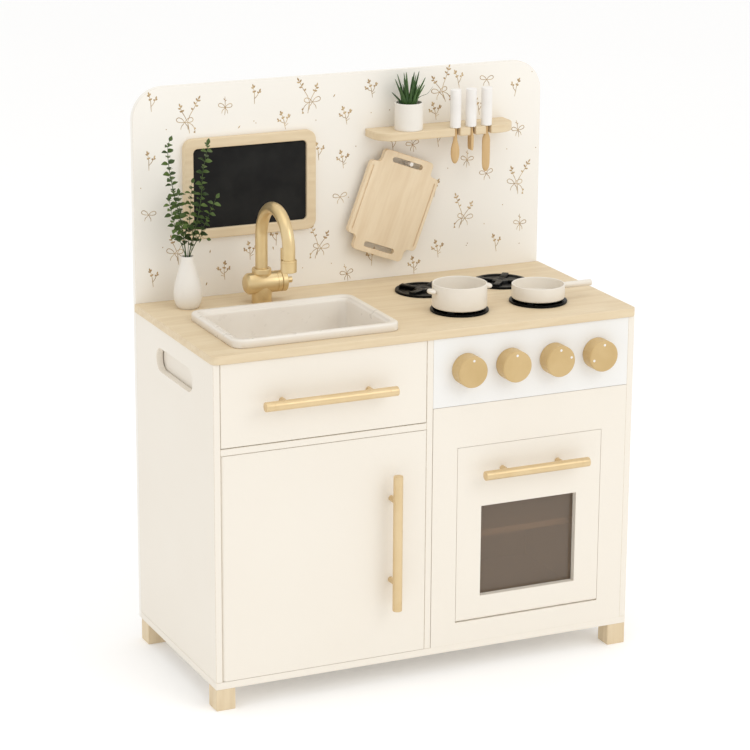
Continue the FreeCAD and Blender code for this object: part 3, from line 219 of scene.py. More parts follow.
# %% Wood group
wood_tree, source, result = new_group(
    "wood_grain",
    [("Vector", "Vector"), ("Light", "Color"), ("Dark", "Color"), ("Streak", "Float")],
    [("Colour", "Color"), ("Roughness", "Float"), ("Height", "Float")])
slow = stretched(wood_tree, source["Vector"], (0.35, 1.0, 1.0))
rings = add(wood_tree, "ShaderNodeTexWave",
            {"Vector": slow, "Scale": 26.0, "Distortion": 7.0, "Detail": 3.0, "Detail Scale": 1.6},
            wave_type="RINGS", rings_direction="X")
fibre = noise(wood_tree, stretched(wood_tree, source["Vector"], (9.0, 260.0, 260.0)), 1.0, 5.0)
broad = noise(wood_tree, stretched(wood_tree, source["Vector"], (3.0, 46.0, 46.0)), 1.0, 3.0)
pore = noise(wood_tree, stretched(wood_tree, source["Vector"], (70.0, 1500.0, 1500.0)), 1.0, 2.0)
line = times(wood_tree, rings.outputs["Fac"], 0.34)
soft = ranged(wood_tree, broad, 0.3, 0.7, 0.0, 0.5)
fine = ranged(wood_tree, fibre, 0.35, 0.7, 0.0, 0.36)
total = add(wood_tree, "ShaderNodeMath", {0: line, 1: soft}, operation="ADD").outputs[0]
total = add(wood_tree, "ShaderNodeMath", {0: total, 1: fine}, operation="ADD").outputs[0]
total = times(wood_tree, total, source["Streak"])
body = mixed(wood_tree, total, source["Light"], source["Dark"])
holes = ranged(wood_tree, pore, 0.62, 0.72, 0.0, 0.28)
wood_tree.links.new(mixed(wood_tree, holes, body, source["Dark"]), result["Colour"])
wood_tree.links.new(ranged(wood_tree, fibre, 0.3, 0.7, 0.46, 0.6), result["Roughness"])
wood_tree.links.new(add(wood_tree, "ShaderNodeMath", {0: fibre, 1: holes},
                        operation="SUBTRACT").outputs[0], result["Height"])
print("wood group nodes:", len(wood_tree.nodes))

# %% [markdown]
# ## Fine surface
# Lacquer, ceramic, plastic and metal are smoother than paint. Their group gives a soft colour
# drift, a roughness that varies a little like handled surfaces do, and a fine bump whose scale
# is chosen for each finish.

# %% Fine surface group
fine_tree, source, result = new_group(
    "fine_surface",
    [("Vector", "Vector"), ("Colour", "Color"), ("Drift", "Color"), ("Rough Low", "Float"),
     ("Rough High", "Float"), ("Grit", "Float")],
    [("Colour", "Color"), ("Roughness", "Float"), ("Height", "Float")])
drift = noise(fine_tree, source["Vector"], 28.0, 3.0)
touch = noise(fine_tree, source["Vector"], 75.0, 4.0)
grit = noise(fine_tree, source["Vector"], source["Grit"], 3.0)
share = ranged(fine_tree, drift, 0.35, 0.65, 0.0, 1.0)
fine_tree.links.new(mixed(fine_tree, share, source["Colour"], source["Drift"]), result["Colour"])
rough = add(fine_tree, "ShaderNodeMapRange", {"Value": touch, "From Min": 0.3, "From Max": 0.7,
                                              "To Min": source["Rough Low"],
                                              "To Max": source["Rough High"]})
fine_tree.links.new(rough.outputs["Result"], result["Roughness"])
fine_tree.links.new(grit, result["Height"])
print("fine surface group nodes:", len(fine_tree.nodes))

# %% [markdown]
# ## Finishes
# Each finish is one material. The groups feed colour, roughness and bump; values that are the
# same everywhere, such as metalness or coat, are set on the shader itself.

# %% Finish helpers
def new_finish(name, constants):
    """A material with its Principled shader and its object coordinates."""
    made = bpy.data.materials.new(name)
    made.use_nodes = True
    tree = made.node_tree
    shader = tree.nodes["Principled BSDF"]
    for key, value in constants.items():
        shader.inputs[key].default_value = value
    coords = tree.nodes.new("ShaderNodeTexCoord").outputs["Object"]
    return made, tree, shader, coords


def connect(tree, shader, group, strength, distance):
    """Colour, roughness and bump from a group into the shader."""
    tree.links.new(group.outputs["Colour"], shader.inputs["Base Color"])
    tree.links.new(group.outputs["Roughness"], shader.inputs["Roughness"])
    bump = add(tree, "ShaderNodeBump", {"Height": group.outputs["Height"], "Strength": strength,
                                        "Distance": distance})
    tree.links.new(bump.outputs["Normal"], shader.inputs["Normal"])


def painted(name, colour, shade, edge):
    made, tree, shader, coords = new_finish(name, {"Specular IOR Level": 0.35})
    ease = add(tree, "ShaderNodeAttribute", attribute_name="ease").outputs["Fac"]
    group = add(tree, "ShaderNodeGroup", {}, node_tree=paint_tree)
    for key, value in (("Vector", coords), ("Ease", ease)):
        tree.links.new(value, group.inputs[key])
    for key, value in (("Colour", colour), ("Shade", shade), ("Edge", edge)):
        group.inputs[key].default_value = value
    connect(tree, shader, group, 0.12, 0.0002)
    return made


def wooden(name, light, dark, streak, turn=0.0, shift=(0.0, 0.31, 0.17), coat=0.0):
    """Wood whose grain runs along X, or turned from X towards Z by an angle in degrees."""
    made, tree, shader, coords = new_finish(name, {"Coat Weight": coat, "Specular IOR Level": 0.4})
    placed = add(tree, "ShaderNodeMapping", {"Vector": coords, "Location": shift,
                                             "Rotation": (0.0, math.radians(turn), 0.0)})
    group = add(tree, "ShaderNodeGroup", {}, node_tree=wood_tree)
    tree.links.new(placed.outputs["Vector"], group.inputs["Vector"])
    group.inputs["Light"].default_value = light
    group.inputs["Dark"].default_value = dark
    group.inputs["Streak"].default_value = streak
    connect(tree, shader, group, 0.18, 0.00015)
    return made


def smooth(name, colour, drift, rough, grit, strength=0.08, constants=None):
    made, tree, shader, coords = new_finish(name, constants or {})
    group = add(tree, "ShaderNodeGroup", {}, node_tree=fine_tree)
    tree.links.new(coords, group.inputs["Vector"])
    for key, value in (("Colour", colour), ("Drift", drift), ("Rough Low", rough[0]),
                       ("Rough High", rough[1]), ("Grit", grit)):
        group.inputs[key].default_value = value
    connect(tree, shader, group, strength, 0.0002)
    return made


# %% [markdown]
# The fifteen or so finishes are kept in one table by the name of the slot that they fill, so
# that a piece only has to name its slot.

# %% Table of finishes
MAPLE, MAPLE_DARK = tone(229, 211, 179), tone(206, 181, 142)
FINISH = {
    "cream_paint": painted("cream_paint", tone(239, 232, 220), tone(236, 228, 215), tone(222, 210, 190)),
    "printed_board": painted("printed_board", tone(244, 240, 232), tone(240, 235, 226),
                             tone(228, 219, 203)),
    "control_white": painted("control_white", tone(238, 237, 234), tone(235, 233, 230),
                             tone(222, 216, 206)),
    "maple": wooden("maple", MAPLE, MAPLE_DARK, 0.5),
    "maple_upright": wooden("maple_upright", MAPLE, MAPLE_DARK, 0.5, turn=90.0, shift=(0.2, 0.4, 0.1)),
    "board_wood": wooden("board_wood", tone(241, 223, 193), tone(219, 193, 155), 0.55, turn=69.5),
    "utensil_wood": wooden("utensil_wood", tone(222, 192, 143), tone(192, 154, 102), 0.7, turn=90.0),
    "handle_gold": smooth("handle_gold", tone(223, 199, 157), tone(217, 191, 146), (0.3, 0.4), 700.0, 0.05,
                          {"Metallic": 0.6}),
    "knob_gold": smooth("knob_gold", tone(206, 177, 125), tone(199, 169, 115), (0.42, 0.52), 900.0),
    "faucet_gold": smooth("faucet_gold", tone(227, 203, 156), tone(220, 194, 143), (0.28, 0.38), 500.0,
                          0.03,
                          {"Metallic": 0.7}),
    "chalkboard": smooth("chalkboard", tone(30, 30, 30), tone(38, 38, 37), (0.7, 0.8), 1200.0, 0.2,
                         {"Specular IOR Level": 0.12}),
    "burner_black": smooth("burner_black", tone(3, 3, 3), tone(6, 6, 6), (0.26, 0.36), 400.0, 0.05,
                           {"Specular IOR Level": 0.09}),
    "pot_white": smooth("pot_white", tone(234, 227, 215), tone(230, 222, 209), (0.3, 0.4), 300.0, 0.04,
                        {"Coat Weight": 0.15}),
    "basin_white": smooth("basin_white", tone(234, 227, 216), tone(231, 223, 211), (0.26, 0.36), 260.0,
                          0.04,
                          {"Coat Weight": 0.2}),
    "utensil_white": smooth("utensil_white", tone(241, 238, 234), tone(234, 230, 225), (0.4, 0.5), 350.0,
                            0.1),
    "white_ceramic": smooth("white_ceramic", tone(234, 229, 220), tone(230, 224, 214), (0.4, 0.5), 700.0,
                            0.06),
    "soil": smooth("soil", tone(92, 66, 46), tone(58, 40, 28), (0.85, 0.95), 420.0, 0.9),
    "steel_fittings": smooth("steel_fittings", tone(196, 196, 198), tone(180, 180, 184), (0.3, 0.42), 600.0,
                             0.05,
                             {"Metallic": 1.0}),
}
print(len(FINISH), "finishes")

# %% [markdown]
# ## Glass, leaves and ink
# The oven pane is smoked glass with a slight smear, so it keeps plain metalness and
# transmission. Leaves are darker or lighter one by one, which a "tint" attribute on their faces
# sets. The printed line on the back board goes from golden to brown along its way.

# %% Glass, leaves and ink
made, tree, shader, coords = new_finish("smoked_pane", {"Transmission Weight": 0.8, "IOR": 1.46,
                                                        "Base Color": tone(191, 169, 146)})
smear = noise(tree, coords, 34.0, 4.0)
tree.links.new(ranged(tree, smear, 0.4, 0.75, 0.02, 0.09), shader.inputs["Roughness"])
FINISH["smoked_pane"] = made


def leafy(name, dark, light, rough):
    """Leaf green that changes from leaf to leaf, with fine veins."""
    made, tree, shader, coords = new_finish(name, {"Subsurface Weight": 0.0, "Specular IOR Level": 0.4})
    tint = add(tree, "ShaderNodeAttribute", attribute_name="tint").outputs["Fac"]
    vein = noise(tree, coords, 420.0, 3.0)
    body = mixed(tree, tint, dark, light)
    tree.links.new(mixed(tree, ranged(tree, vein, 0.5, 0.75, 0.0, 0.35), body, light),
                   shader.inputs["Base Color"])
    tree.links.new(ranged(tree, vein, 0.3, 0.7, rough, rough + 0.15), shader.inputs["Roughness"])
    bump = add(tree, "ShaderNodeBump", {"Height": vein, "Strength": 0.2, "Distance": 0.0002})
    tree.links.new(bump.outputs["Normal"], shader.inputs["Normal"])
    return made


FINISH["leaf_green"] = leafy("leaf_green", tone(46, 66, 28), tone(104, 128, 58), 0.45)
FINISH["aloe_green"] = leafy("aloe_green", tone(38, 66, 30), tone(84, 118, 58), 0.38)

made, tree, shader, coords = new_finish("ink", {"Specular IOR Level": 0.2})
worn = noise(tree, coords, 150.0, 3.0)
tree.links.new(mixed(tree, ranged(tree, worn, 0.38, 0.62, 0.0, 1.0), tone(202, 177, 136),
                     tone(163, 134, 92)), shader.inputs["Base Color"])
tree.links.new(ranged(tree, worn, 0.3, 0.7, 0.55, 0.7), shader.inputs["Roughness"])
FINISH["ink"] = made
print("finishes now:", sorted(FINISH))

# %% [markdown]
# ## Modelling helpers
# A piece is finished in one place: its mesh gets soft shading with hard creases, its material,
# its body to ride on, and the node it stands for.

# %% Finish a piece
def settle(bm, name, rides_on, slot, finishes=(), stands_for=(), crease=38.0):
    """Turn a bmesh into a named piece of the kitchen."""
    for face in bm.faces:
        face.smooth = True
    for edge in bm.edges:
        if len(edge.link_faces) == 2 and edge.calc_face_angle() > math.radians(crease):
            edge.smooth = False
    mesh = bpy.data.meshes.new(name)
    bm.to_mesh(mesh)
    bm.free()
    for finish in finishes or (slot,):
        mesh.materials.append(FINISH[finish])
    item = bpy.data.objects.new(name, mesh)
    scene.collection.objects.link(item)
    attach(item, rides_on)
    if stands_for:
        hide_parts(*stands_for)
    return item


def slot_of(node):
    """The slot name that came with the node."""
    return nodes[node].data.materials[0].name.split(".")[0]


# %% [markdown]
# ## Boards with eased edges
# Real boards have softened edges that catch the light. A copy of the node is merged and its
# flat faces are joined again, then every outer corner is bevelled. The new edge faces get the
# "ease" attribute for the paint, and a hard crease keeps the flat faces flat.

# %% Ease the boards
def eased(node, width=0.8, segments=3, finishes=(), choose=None):
    """A copy of a board with rounded edges, which stands for the node."""
    bm = bmesh.new()
    bm.from_mesh(nodes[node].data)
    ease = bm.faces.layers.float.new("ease")
    bmesh.ops.remove_doubles(bm, verts=bm.verts, dist=0.00001)
    bmesh.ops.dissolve_limit(bm, angle_limit=math.radians(0.5), verts=bm.verts, edges=bm.edges)
    corners = [edge for edge in bm.edges if len(edge.link_faces) == 2 and edge.is_convex
               and edge.calc_face_angle() > math.radians(35)]
    made = bmesh.ops.bevel(bm, geom=corners, offset=width * MM, offset_type="OFFSET", segments=segments,
                           profile=0.5, affect="EDGES", material=-1, clamp_overlap=True)
    strips = set(made["faces"])
    for face in strips:
        face[ease] = 1.0
    if choose:
        for face in bm.faces:
            face.material_index = choose(face)
    for edge in bm.edges:
        if len(edge.link_faces) == 2 and (edge.link_faces[0] in strips) != (edge.link_faces[1] in strips):
            edge.smooth = False
    slot = slot_of(node)
    return settle(bm, f"{node}_eased", nodes[node]["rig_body"], slot, finishes or (slot,), (node,), 36.0)


for node in ("bottom_panel", "centre_divider", "drawer_shelf", "oven_ceiling", "oven_shelf", "back_board",
             "control_panel", "oven_surround", "drawer_front", "drawer_sides", "drawer_back",
             "cupboard_door", "oven_door", "left_side_panel", "right_side_panel"):
    eased(node, 0.7)
eased("worktop", 1.0)
eased("wall_shelf", 1.2)
eased("cutting_board", 1.0)

# %% [markdown]
# The bars of the chalkboard frame and the feet need their grain upright where they stand.

# %% Boards with two finishes
FRAME_BAR = 13.5


def upright_bar(face):
    """1 for the two upright bars of the chalkboard frame."""
    low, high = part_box("chalkboard_frame")
    middle = face.calc_center_median()
    return int(middle.x < low.x + FRAME_BAR * MM or middle.x > high.x - FRAME_BAR * MM)


eased("chalkboard_frame", 1.2, finishes=("maple", "maple_upright"), choose=upright_bar)
eased("feet", 1.0, finishes=("maple_upright",))

# %% [markdown]
# ## Nodes that keep their shape
# Bars, posts, pins and other turned parts are already right in the measured model. They only
# get a better finish in their material slots.

# %% Finish the turned nodes
for node, item in nodes.items():
    item.data.materials[0] = FINISH[slot_of(node)]
print("finished nodes:", len(nodes))

# %% [markdown]
# ## Turned and swept shapes
# Most round things here are either turned on a lathe or bent from a rod. `turned` spins half an
# outline once round. `swept` extrudes a ring from point to point along a path and closes it.

# %% Turned shapes
def turned(bm, outline, steps=48):
    """Spin half an outline, (radius, height) in millimetres, round the upright axis."""
    known = set(bm.verts)
    points = [bm.verts.new((radius * MM, 0.0, height * MM)) for radius, height in outline]
    lines = [bm.edges.new(pair) for pair in zip(points, points[1:])]
    bmesh.ops.spin(bm, geom=points + lines, cent=(0, 0, 0), axis=(0, 0, 1), angle=2 * math.pi,
                   steps=steps, use_merge=True, use_duplicate=False)
    new = [vert for vert in bm.verts if vert not in known]
    bmesh.ops.remove_doubles(bm, verts=new, dist=1e-7)
    new = [vert for vert in bm.verts if vert not in known]
    bmesh.ops.recalc_face_normals(bm, faces=list({face for vert in new for face in vert.link_faces}))
    return new


def arc(radius, height, size, start, end, count=5):
    """Points on part of a circle, for a rolled edge in an outline; angles in degrees."""
    angles = [math.radians(start + (end - start) * step / (count - 1)) for step in range(count)]
    return [(radius + size * math.cos(angle), height + size * math.sin(angle)) for angle in angles]


def lay(bm, verts, place, axis="z"):
    """Point an upright shape along an axis and move it to its place in millimetres."""
    spin = {"x": Matrix.Rotation(math.pi / 2, 4, "Y"), "y": Matrix.Rotation(-math.pi / 2, 4, "X"),
            "z": Matrix.Identity(4)}[axis]
    bmesh.ops.transform(bm, matrix=Matrix.Translation(Vector(place) * MM) @ spin, verts=verts)


def middle_of(node):
    """Centre of a node's box in millimetres."""
    low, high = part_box(node)
    return (low + high) / 2 / MM


# %% Swept shapes
def frames_along(path, facing):
    """A square frame at each point of a path, turned as little as possible on the way."""
    frames = []
    side = Vector(facing)
    for index, point in enumerate(path):
        before = path[max(index - 1, 0)]
        after = path[min(index + 1, len(path) - 1)]
        way = (after - before).normalized()
        side = (side - way * side.dot(way)).normalized()
        frames.append((point, side, way.cross(side), way))
    return frames


def swept(bm, path, radii, sides=8, flat=1.0, facing=(0.3, -1.0, 0.2), tint=None):
    """Extrude a ring along a path in millimetres; flat thins it along the facing direction."""
    path = [Vector(point) for point in path]
    radii = radii if hasattr(radii, "__len__") else [radii] * len(path)
    flats = flat if hasattr(flat, "__len__") else [flat] * len(path)
    ring = bmesh.ops.create_circle(bm, cap_ends=False, radius=1.0, segments=sides)["verts"]
    edges = list({edge for vert in ring for edge in vert.link_edges})
    ends, made, old = [edges], [], Matrix.Identity(4)
    for index, (point, side, across, way) in enumerate(frames_along(path, facing)):
        wide = max(radii[index], 0.02) * MM
        new = Matrix((side * wide * flats[index], across * wide, way * MM)).transposed().to_4x4()
        new.translation = point * MM
        if index:
            grown = bmesh.ops.extrude_edge_only(bm, edges=edges)["geom"]
            ring = [part for part in grown if isinstance(part, bmesh.types.BMVert)]
            own = set(ring)
            edges = [part for part in grown if isinstance(part, bmesh.types.BMEdge)
                     and own.issuperset(part.verts)]
            made += [part for part in grown if isinstance(part, bmesh.types.BMFace)]
        bmesh.ops.transform(bm, matrix=new @ old.inverted(), verts=ring)
        old = new
    ends.append(edges)
    for end in ends:
        made += bmesh.ops.contextual_create(bm, geom=end)["faces"]
    bmesh.ops.recalc_face_normals(bm, faces=made)
    if tint is not None:
        layer = bm.faces.layers.float.get("tint")
        for face in made:
            face[layer] = tint
    return made


def gather(bm, small):
    """Add a small shape to a larger one and free it; many small shapes are quicker to make."""
    mesh = bpy.data.meshes.new("gathered")
    small.to_mesh(mesh)
    small.free()
    bm.from_mesh(mesh)
    bpy.data.meshes.remove(mesh)


def tinted_mesh():
    """An empty bmesh whose faces carry the leaf tint."""
    bm = bmesh.new()
    bm.faces.layers.float.new("tint")
    return bm


def curved(points, steps=4):
    """A smooth line through the points."""
    points = [Vector(point) for point in points]
    line = []
    for index in range(len(points) - 1):
        a, b = points[max(index - 1, 0)], points[index]
        c, d = points[index + 1], points[min(index + 2, len(points) - 1)]
        for step in range(steps):
            t = step / steps
            line.append(0.5 * ((2 * b) + (c - a) * t + (2 * a - 5 * b + 4 * c - d) * t ** 2
                               + (3 * b - a - 3 * c + d) * t ** 3))
    line.append(points[-1])
    return line


# %% [markdown]
# ## Handle bars
# The bars are cut from satin metal tube. A cap is pressed into each end, which leaves a fine
# ring round the bar a finger's width from the end. One outline is turned and laid along each
# bar's own direction.

# %% Handle bars
RING_AT, RING_DEEP = 11.5, 0.18
for prefix, axis in (("drawer", "x"), ("cupboard", "z"), ("oven", "x")):
    node = f"{prefix}_handle_bar"
    low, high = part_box(node)
    long = (high.z - low.z if axis == "z" else high.x - low.x) / MM
    radius = (high.y - low.y) / 2 / MM
    end = [(0, 0)] + [(radius - 0.8 + 0.8 * math.sin(turn), 0.8 - 0.8 * math.cos(turn))
                      for turn in (0, 0.4, 0.8, 1.2, math.pi / 2)]
    end += [(radius, RING_AT), (radius - RING_DEEP, RING_AT + 0.15), (radius - RING_DEEP, RING_AT + 0.45),
            (radius, RING_AT + 0.6)]
    bm = bmesh.new()
    turned(bm, end + [(across, long - along) for across, along in reversed(end)], 40)
    start = middle_of(node)
    start["xyz".index(axis)] -= long / 2
    lay(bm, list(bm.verts), start, axis)
    settle(bm, f"{prefix}_bar_turned", nodes[node]["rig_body"], "handle_gold", stands_for=(node,),
           crease=28.0)
print("bars turned")

# %% [markdown]
# ## Sink
# The basin is one moulded shell. A rounded square at the underside of the bowl is extruded ring by
# ring: out under the rim, over the rim, down a small step and into the bowl. Each new ring keeps
# its corners, which are only moved in or out and given another radius.

# %% Sink
low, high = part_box("sink_basin")
centre = (low + high) / 2 / MM
half = (high - low) / 2 / MM
# inset from the rim's outside, corner radius, height over the top of the rim
SINK_RINGS = ((18, 11, -56.0), (13.5, 12, -55.2), (10.6, 13, -51.5), (10.2, 13, -11.0), (0.8, 16, -11.0),
              (0, 16, -10.2), (0, 16, -2.6), (0.5, 16, -1.2), (1.7, 15, -0.3), (3.0, 15, 0), (7.4, 14, 0),
              (8.5, 13, -0.5), (9.3, 13, -1.8), (9.9, 12, -3.0), (11.4, 12, -3.6), (12.6, 12, -4.6),
              (13.3, 12, -7.0), (13.9, 12, -34), (14.7, 12, -45), (16.2, 13, -49.6), (18.8, 13, -52.0),
              (23, 14, -53.0))


def rounded_ring(bm, half_x, half_y, radius):
    """The edge loop of a rounded rectangle, made from a square with bevelled corners."""
    corners = bmesh.ops.create_grid(bm, x_segments=1, y_segments=1, size=1.0)["verts"]
    bmesh.ops.scale(bm, vec=(half_x * MM, half_y * MM, 1.0), verts=corners)
    bmesh.ops.bevel(bm, geom=corners, offset=radius * MM, offset_type="OFFSET", segments=6,
                    profile=0.5, affect="VERTICES", material=-1)
    edges = list(bm.edges)
    bmesh.ops.delete(bm, geom=list(bm.faces), context="FACES_ONLY")
    return edges


def carried(verts, old, new):
    """Move a ring's corners from one inset and radius to the next, at a new height."""
    for vert in verts:
        for axis in (0, 1):
            away = vert.co[axis] / MM
            side = math.copysign(1.0, away)
            share = (away - side * (half[axis] - old[0] - old[1])) / old[1]
            vert.co[axis] = (side * (half[axis] - new[0] - new[1]) + share * new[1]) * MM
        vert.co.z = new[2] * MM


bm = bmesh.new()
first = SINK_RINGS[0]
edges = rounded_ring(bm, half.x - first[0], half.y - first[0], first[1])
carried(bm.verts, first, first)
bmesh.ops.contextual_create(bm, geom=edges)
for old, new in zip(SINK_RINGS, SINK_RINGS[1:]):
    grown = bmesh.ops.extrude_edge_only(bm, edges=edges)["geom"]
    verts = {part for part in grown if isinstance(part, bmesh.types.BMVert)}
    edges = [part for part in grown if isinstance(part,
                                                  bmesh.types.BMEdge) and verts.issuperset(part.verts)]
    carried(verts, old, new)
bmesh.ops.contextual_create(bm, geom=edges)
bmesh.ops.recalc_face_normals(bm, faces=bm.faces)
lay(bm, list(bm.verts), (centre.x, centre.y, high.z / MM))
sink = settle(bm, "sink_shell", "sink_basin", "basin_white", stands_for=("sink_basin",), crease=50.0)
print("sink faces:", len(sink.data.polygons))

# %% [markdown]
# ## Faucet
# The valve is a short barrel lying on its side with a wide chamfer at its left end, and a collar
# on top that holds the swinging spout. It is turned in two pieces, as on a lathe.

# %% Faucet body
low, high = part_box("faucet_body")
axis_x = middle_of("faucet_spout").x
axis_y = (low.y + high.y) / 2 / MM
bore = (high.y - low.y) / 2 / MM
length = (high.x - low.x) / MM
bm = bmesh.new()
barrel = turned(bm, [(0, 0), (bore - 4.6, 0), (bore - 3.6, 0.4), (bore - 0.5, 3.6), (bore, 4.6),
                     (bore, length - 7.0),
                     (bore - 0.5, length - 6.8), (bore - 0.5, length - 6.0), (bore, length - 5.8),
                     (bore, length - 0.5), (bore - 0.5, length), (0, length)], 64)
lay(bm, barrel, (low.x / MM, axis_y, low.z / MM + bore), "x")
lip = high.z / MM
collar = turned(bm, [(0, -22), (11.6, -22), (11.6, -9.2), (12.2, -7.4), (13, -6.2), (13, -0.8), (12.4, 0),
                     (9.2, 0), (8.7, -0.6), (8.5, -3), (0, -3)], 64)
lay(bm, collar, (axis_x, axis_y, lip))
settle(bm, "faucet_valve", "carcass", "faucet_gold", stands_for=("faucet_body",), crease=30.0)
low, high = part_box("faucet_nozzle")
spot = middle_of("faucet_nozzle")
bm = bmesh.new()
tall = (high.z - low.z) / MM
cup = turned(bm, [(8.0, 0.3), (8.6, 0), (9.9, 0), (10.3, 0.6), (10.3, tall - 3.2), (10.0, tall - 2.9),
                  (10.0, tall - 2.5), (10.3, tall - 2.2), (10.3, tall - 0.6), (9.9, tall), (8.4, tall),
                  (8.0, tall - 0.6), (8.0, 1.5), (8.0, 0.3)], 48)
lay(bm, cup, (spot.x, spot.y, low.z / MM))
mesh_disc = turned(bm, [(0, 1.6), (7.9, 1.6), (7.9, 2.4), (0, 2.4)], 48)
lay(bm, mesh_disc, (spot.x, spot.y, low.z / MM))
settle(bm, "faucet_outlet", "spout", "faucet_gold", stands_for=("faucet_nozzle",), crease=30.0)
print("valve length", round(length, 1), "mm")

# %% [markdown]
# ## Burners
# Each burner is a black dish with a raised edge, a cap in the middle and four pan
# supports that rise towards the edge. A support is a cube whose end faces are moved, and its
# edges are bevelled.

# %% Burners
def support(bm, reach, rise):
    """One pan support along +X, low near the cap and high near the edge."""
    cube = bmesh.ops.create_cube(bm, size=1.0)["verts"]
    bmesh.ops.scale(bm, vec=(reach * MM, 9.0 * MM, rise * MM), verts=cube)
    bmesh.ops.translate(bm, vec=((10.5 + reach / 2) * MM, 0, (0.8 + rise / 2) * MM), verts=cube)
    for vert in cube:
        if vert.co.z > 3 * MM and vert.co.x < 20 * MM:
            vert.co.z -= 1.4 * MM
        if vert.co.z < 3 * MM and vert.co.x > 20 * MM:
            vert.co.x += 1.6 * MM
    faces = {face for vert in cube for face in vert.link_faces}
    edges = list({edge for face in faces for edge in face.edges})
    known = set(bm.verts) - set(cube)
    bmesh.ops.bevel(bm, geom=edges, offset=0.7 * MM, offset_type="OFFSET", segments=2, profile=0.5,
                    affect="EDGES", material=-1)
    return [vert for vert in bm.verts if vert not in known]


for spot, first_turn in (("front_left", 45), ("front_right", 45), ("back_left", 38), ("back_right", 52)):
    node = f"burner_{spot}"
    low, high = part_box(node)
    edge = (high.x - low.x) / 2 / MM
    rise = (high.z - low.z) / MM
    bm = bmesh.new()
    turned(bm, [(0, 0), (edge - 0.7, 0), (edge, 0.7), (edge, 2.2), (edge - 0.4, 2.9), (edge - 1.4, 3.2),
                (edge - 4.5, 3.2), (edge - 6, 2.6), (edge - 7, 1.6), (17, 1.3), (14, 1.4), (13, 2.0),
                (12.6, 3.4), (11.8, 4.2), (10.4, 4.5), (4, 4.5), (3.2, 4.2), (0, 4.1)], 64)
    for step in range(4):
        bar = support(bm, 24.0, rise - 0.8)
        bmesh.ops.rotate(bm, cent=(0, 0, 0),
                         matrix=Matrix.Rotation(math.radians(first_turn + 90 * step), 3, "Z"),
                         verts=bar)
    lay(bm, list(bm.verts), (middle_of(node).x, middle_of(node).y, low.z / MM))
    settle(bm, f"{node}_dish", "carcass", "burner_black", stands_for=(node,), crease=34.0)
print("burners turned")

# %% [markdown]
# ## Pot and pan
# Both are thin turned vessels with a rolled rim. The pot has two small ears, turned flat and
# then squeezed into ovals, and the pan has a round straight handle.

# %% Pot and pan
def vessel(bm, radius, height, wall=2.2):
    """Outline of a thin vessel from the middle of its base, over the rim and down inside."""
    outline = [(0, 0.4), (radius - 5, 0.4), (radius - 4, 0)]
    outline += arc(radius - 2.0, 2.0, 2.0, -90, 0, 5)
    outline += [(radius, height - 2.2), (radius - 0.1, height - 1.9)]
    outline += arc(radius - wall / 2, height - wall / 2, wall / 2, 0, 180, 7)
    outline += [(radius - wall, 4.5)]
    outline += arc(radius - wall - 2.2, 4.4, 2.2, 0, -90, 5)
    return turned(bm, outline + [(0, 2.2)], 72)


low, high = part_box("pot")
radius = (high.y - low.y) / 2 / MM
tall = (high.z - low.z) / MM
centre = middle_of("pot")
bm = bmesh.new()
vessel(bm, radius, tall)
lay(bm, list(bm.verts), (centre.x, centre.y, low.z / MM))
reach = (high.x - low.x) / 2 / MM
for side in (-1, 1):
    ear = turned(bm, [(0, 0)] + arc(4.2, 2.6, 2.6, -90, 90, 7) + [(0, 5.2)], 32)
    bmesh.ops.scale(bm, vec=(0.86, 1.25, 1.0), verts=ear)
    lay(bm, ear, (centre.x + side * (reach - 5.85), centre.y, low.z / MM + tall * 0.66))
settle(bm, "pot_turned", "pot", "pot_white", stands_for=("pot",), crease=50.0)

low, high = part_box("pan")
radius = (high.y - low.y) / 2 / MM
tall = (high.z - low.z) / MM
centre = Vector((low.x / MM + radius, middle_of("pan").y, low.z / MM))
bm = bmesh.new()
vessel(bm, radius, tall)
lay(bm, list(bm.verts), centre)
reach = high.x / MM - (centre.x + radius - 1.0)
grip = turned(bm, [(0, 0), (3.4, 0), (4.0, 4), (4.3, 9)] + arc(3.3, reach - 1.0, 1.0, 0, 90,
                                                               4) + [(0, reach)], 32)
lay(bm, grip, (centre.x + radius - 1.0, centre.y, centre.z + tall * 0.65), "x")
settle(bm, "pan_turned", "pan", "pot_white", stands_for=("pan",), crease=50.0)
print("pot and pan turned")

# %% [markdown]
# ## Knob marks
# Each knob has small white dots set into its face near the rim, which a child turns to a
# setting. They ride on the knob and turn with it.

# %% Knob marks
MARK_REACH, MARK_RAISED = 15.6, 0.12
KNOB_MARKS = {"knob_1": (2,), "knob_2": (-3,), "knob_3": (-2, 73), "knob_4": (1, 254)}
for node, marks in KNOB_MARKS.items():
    low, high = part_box(node)
    centre = middle_of(node)
    bm = bmesh.new()
    for mark in marks:
        dot = turned(bm, [(0, 0), (1.55, 0), (1.75, 0.15), (1.75, 0.8), (0, 0.8)], 24)
        angle = math.radians(mark)
        lay(bm, dot, (centre.x + MARK_REACH * math.sin(angle), low.y / MM - MARK_RAISED,
                      centre.z + MARK_REACH * math.cos(angle)), "y")
    settle(bm, f"{node}_marks", node, "utensil_white")
print("marks:", sum(len(marks) for marks in KNOB_MARKS.values()))

# %% [markdown]
# ## Utensil heads
# The spoon, fork and knife are carved from flat sticks, with soft outlines. Each is one or more
# flattened rings swept downwards from the handle; the width changes on the way, and a second
# number keeps the stick equally thick. The fork's tines are three narrow sweeps from its palm.

# %% Utensil heads
def carved(bm, x, y, top, profile, thin):
    """Sweep down a stick; each step is (depth below the shelf's top, half width, half thickness)."""
    path = [(x, y, top - depth) for depth, wide, thick in profile]
    flats = [thick / wide for depth, wide, thick in profile]
    swept(bm, path, [wide for depth, wide, thick in profile], sides=20, flat=flats, facing=thin)


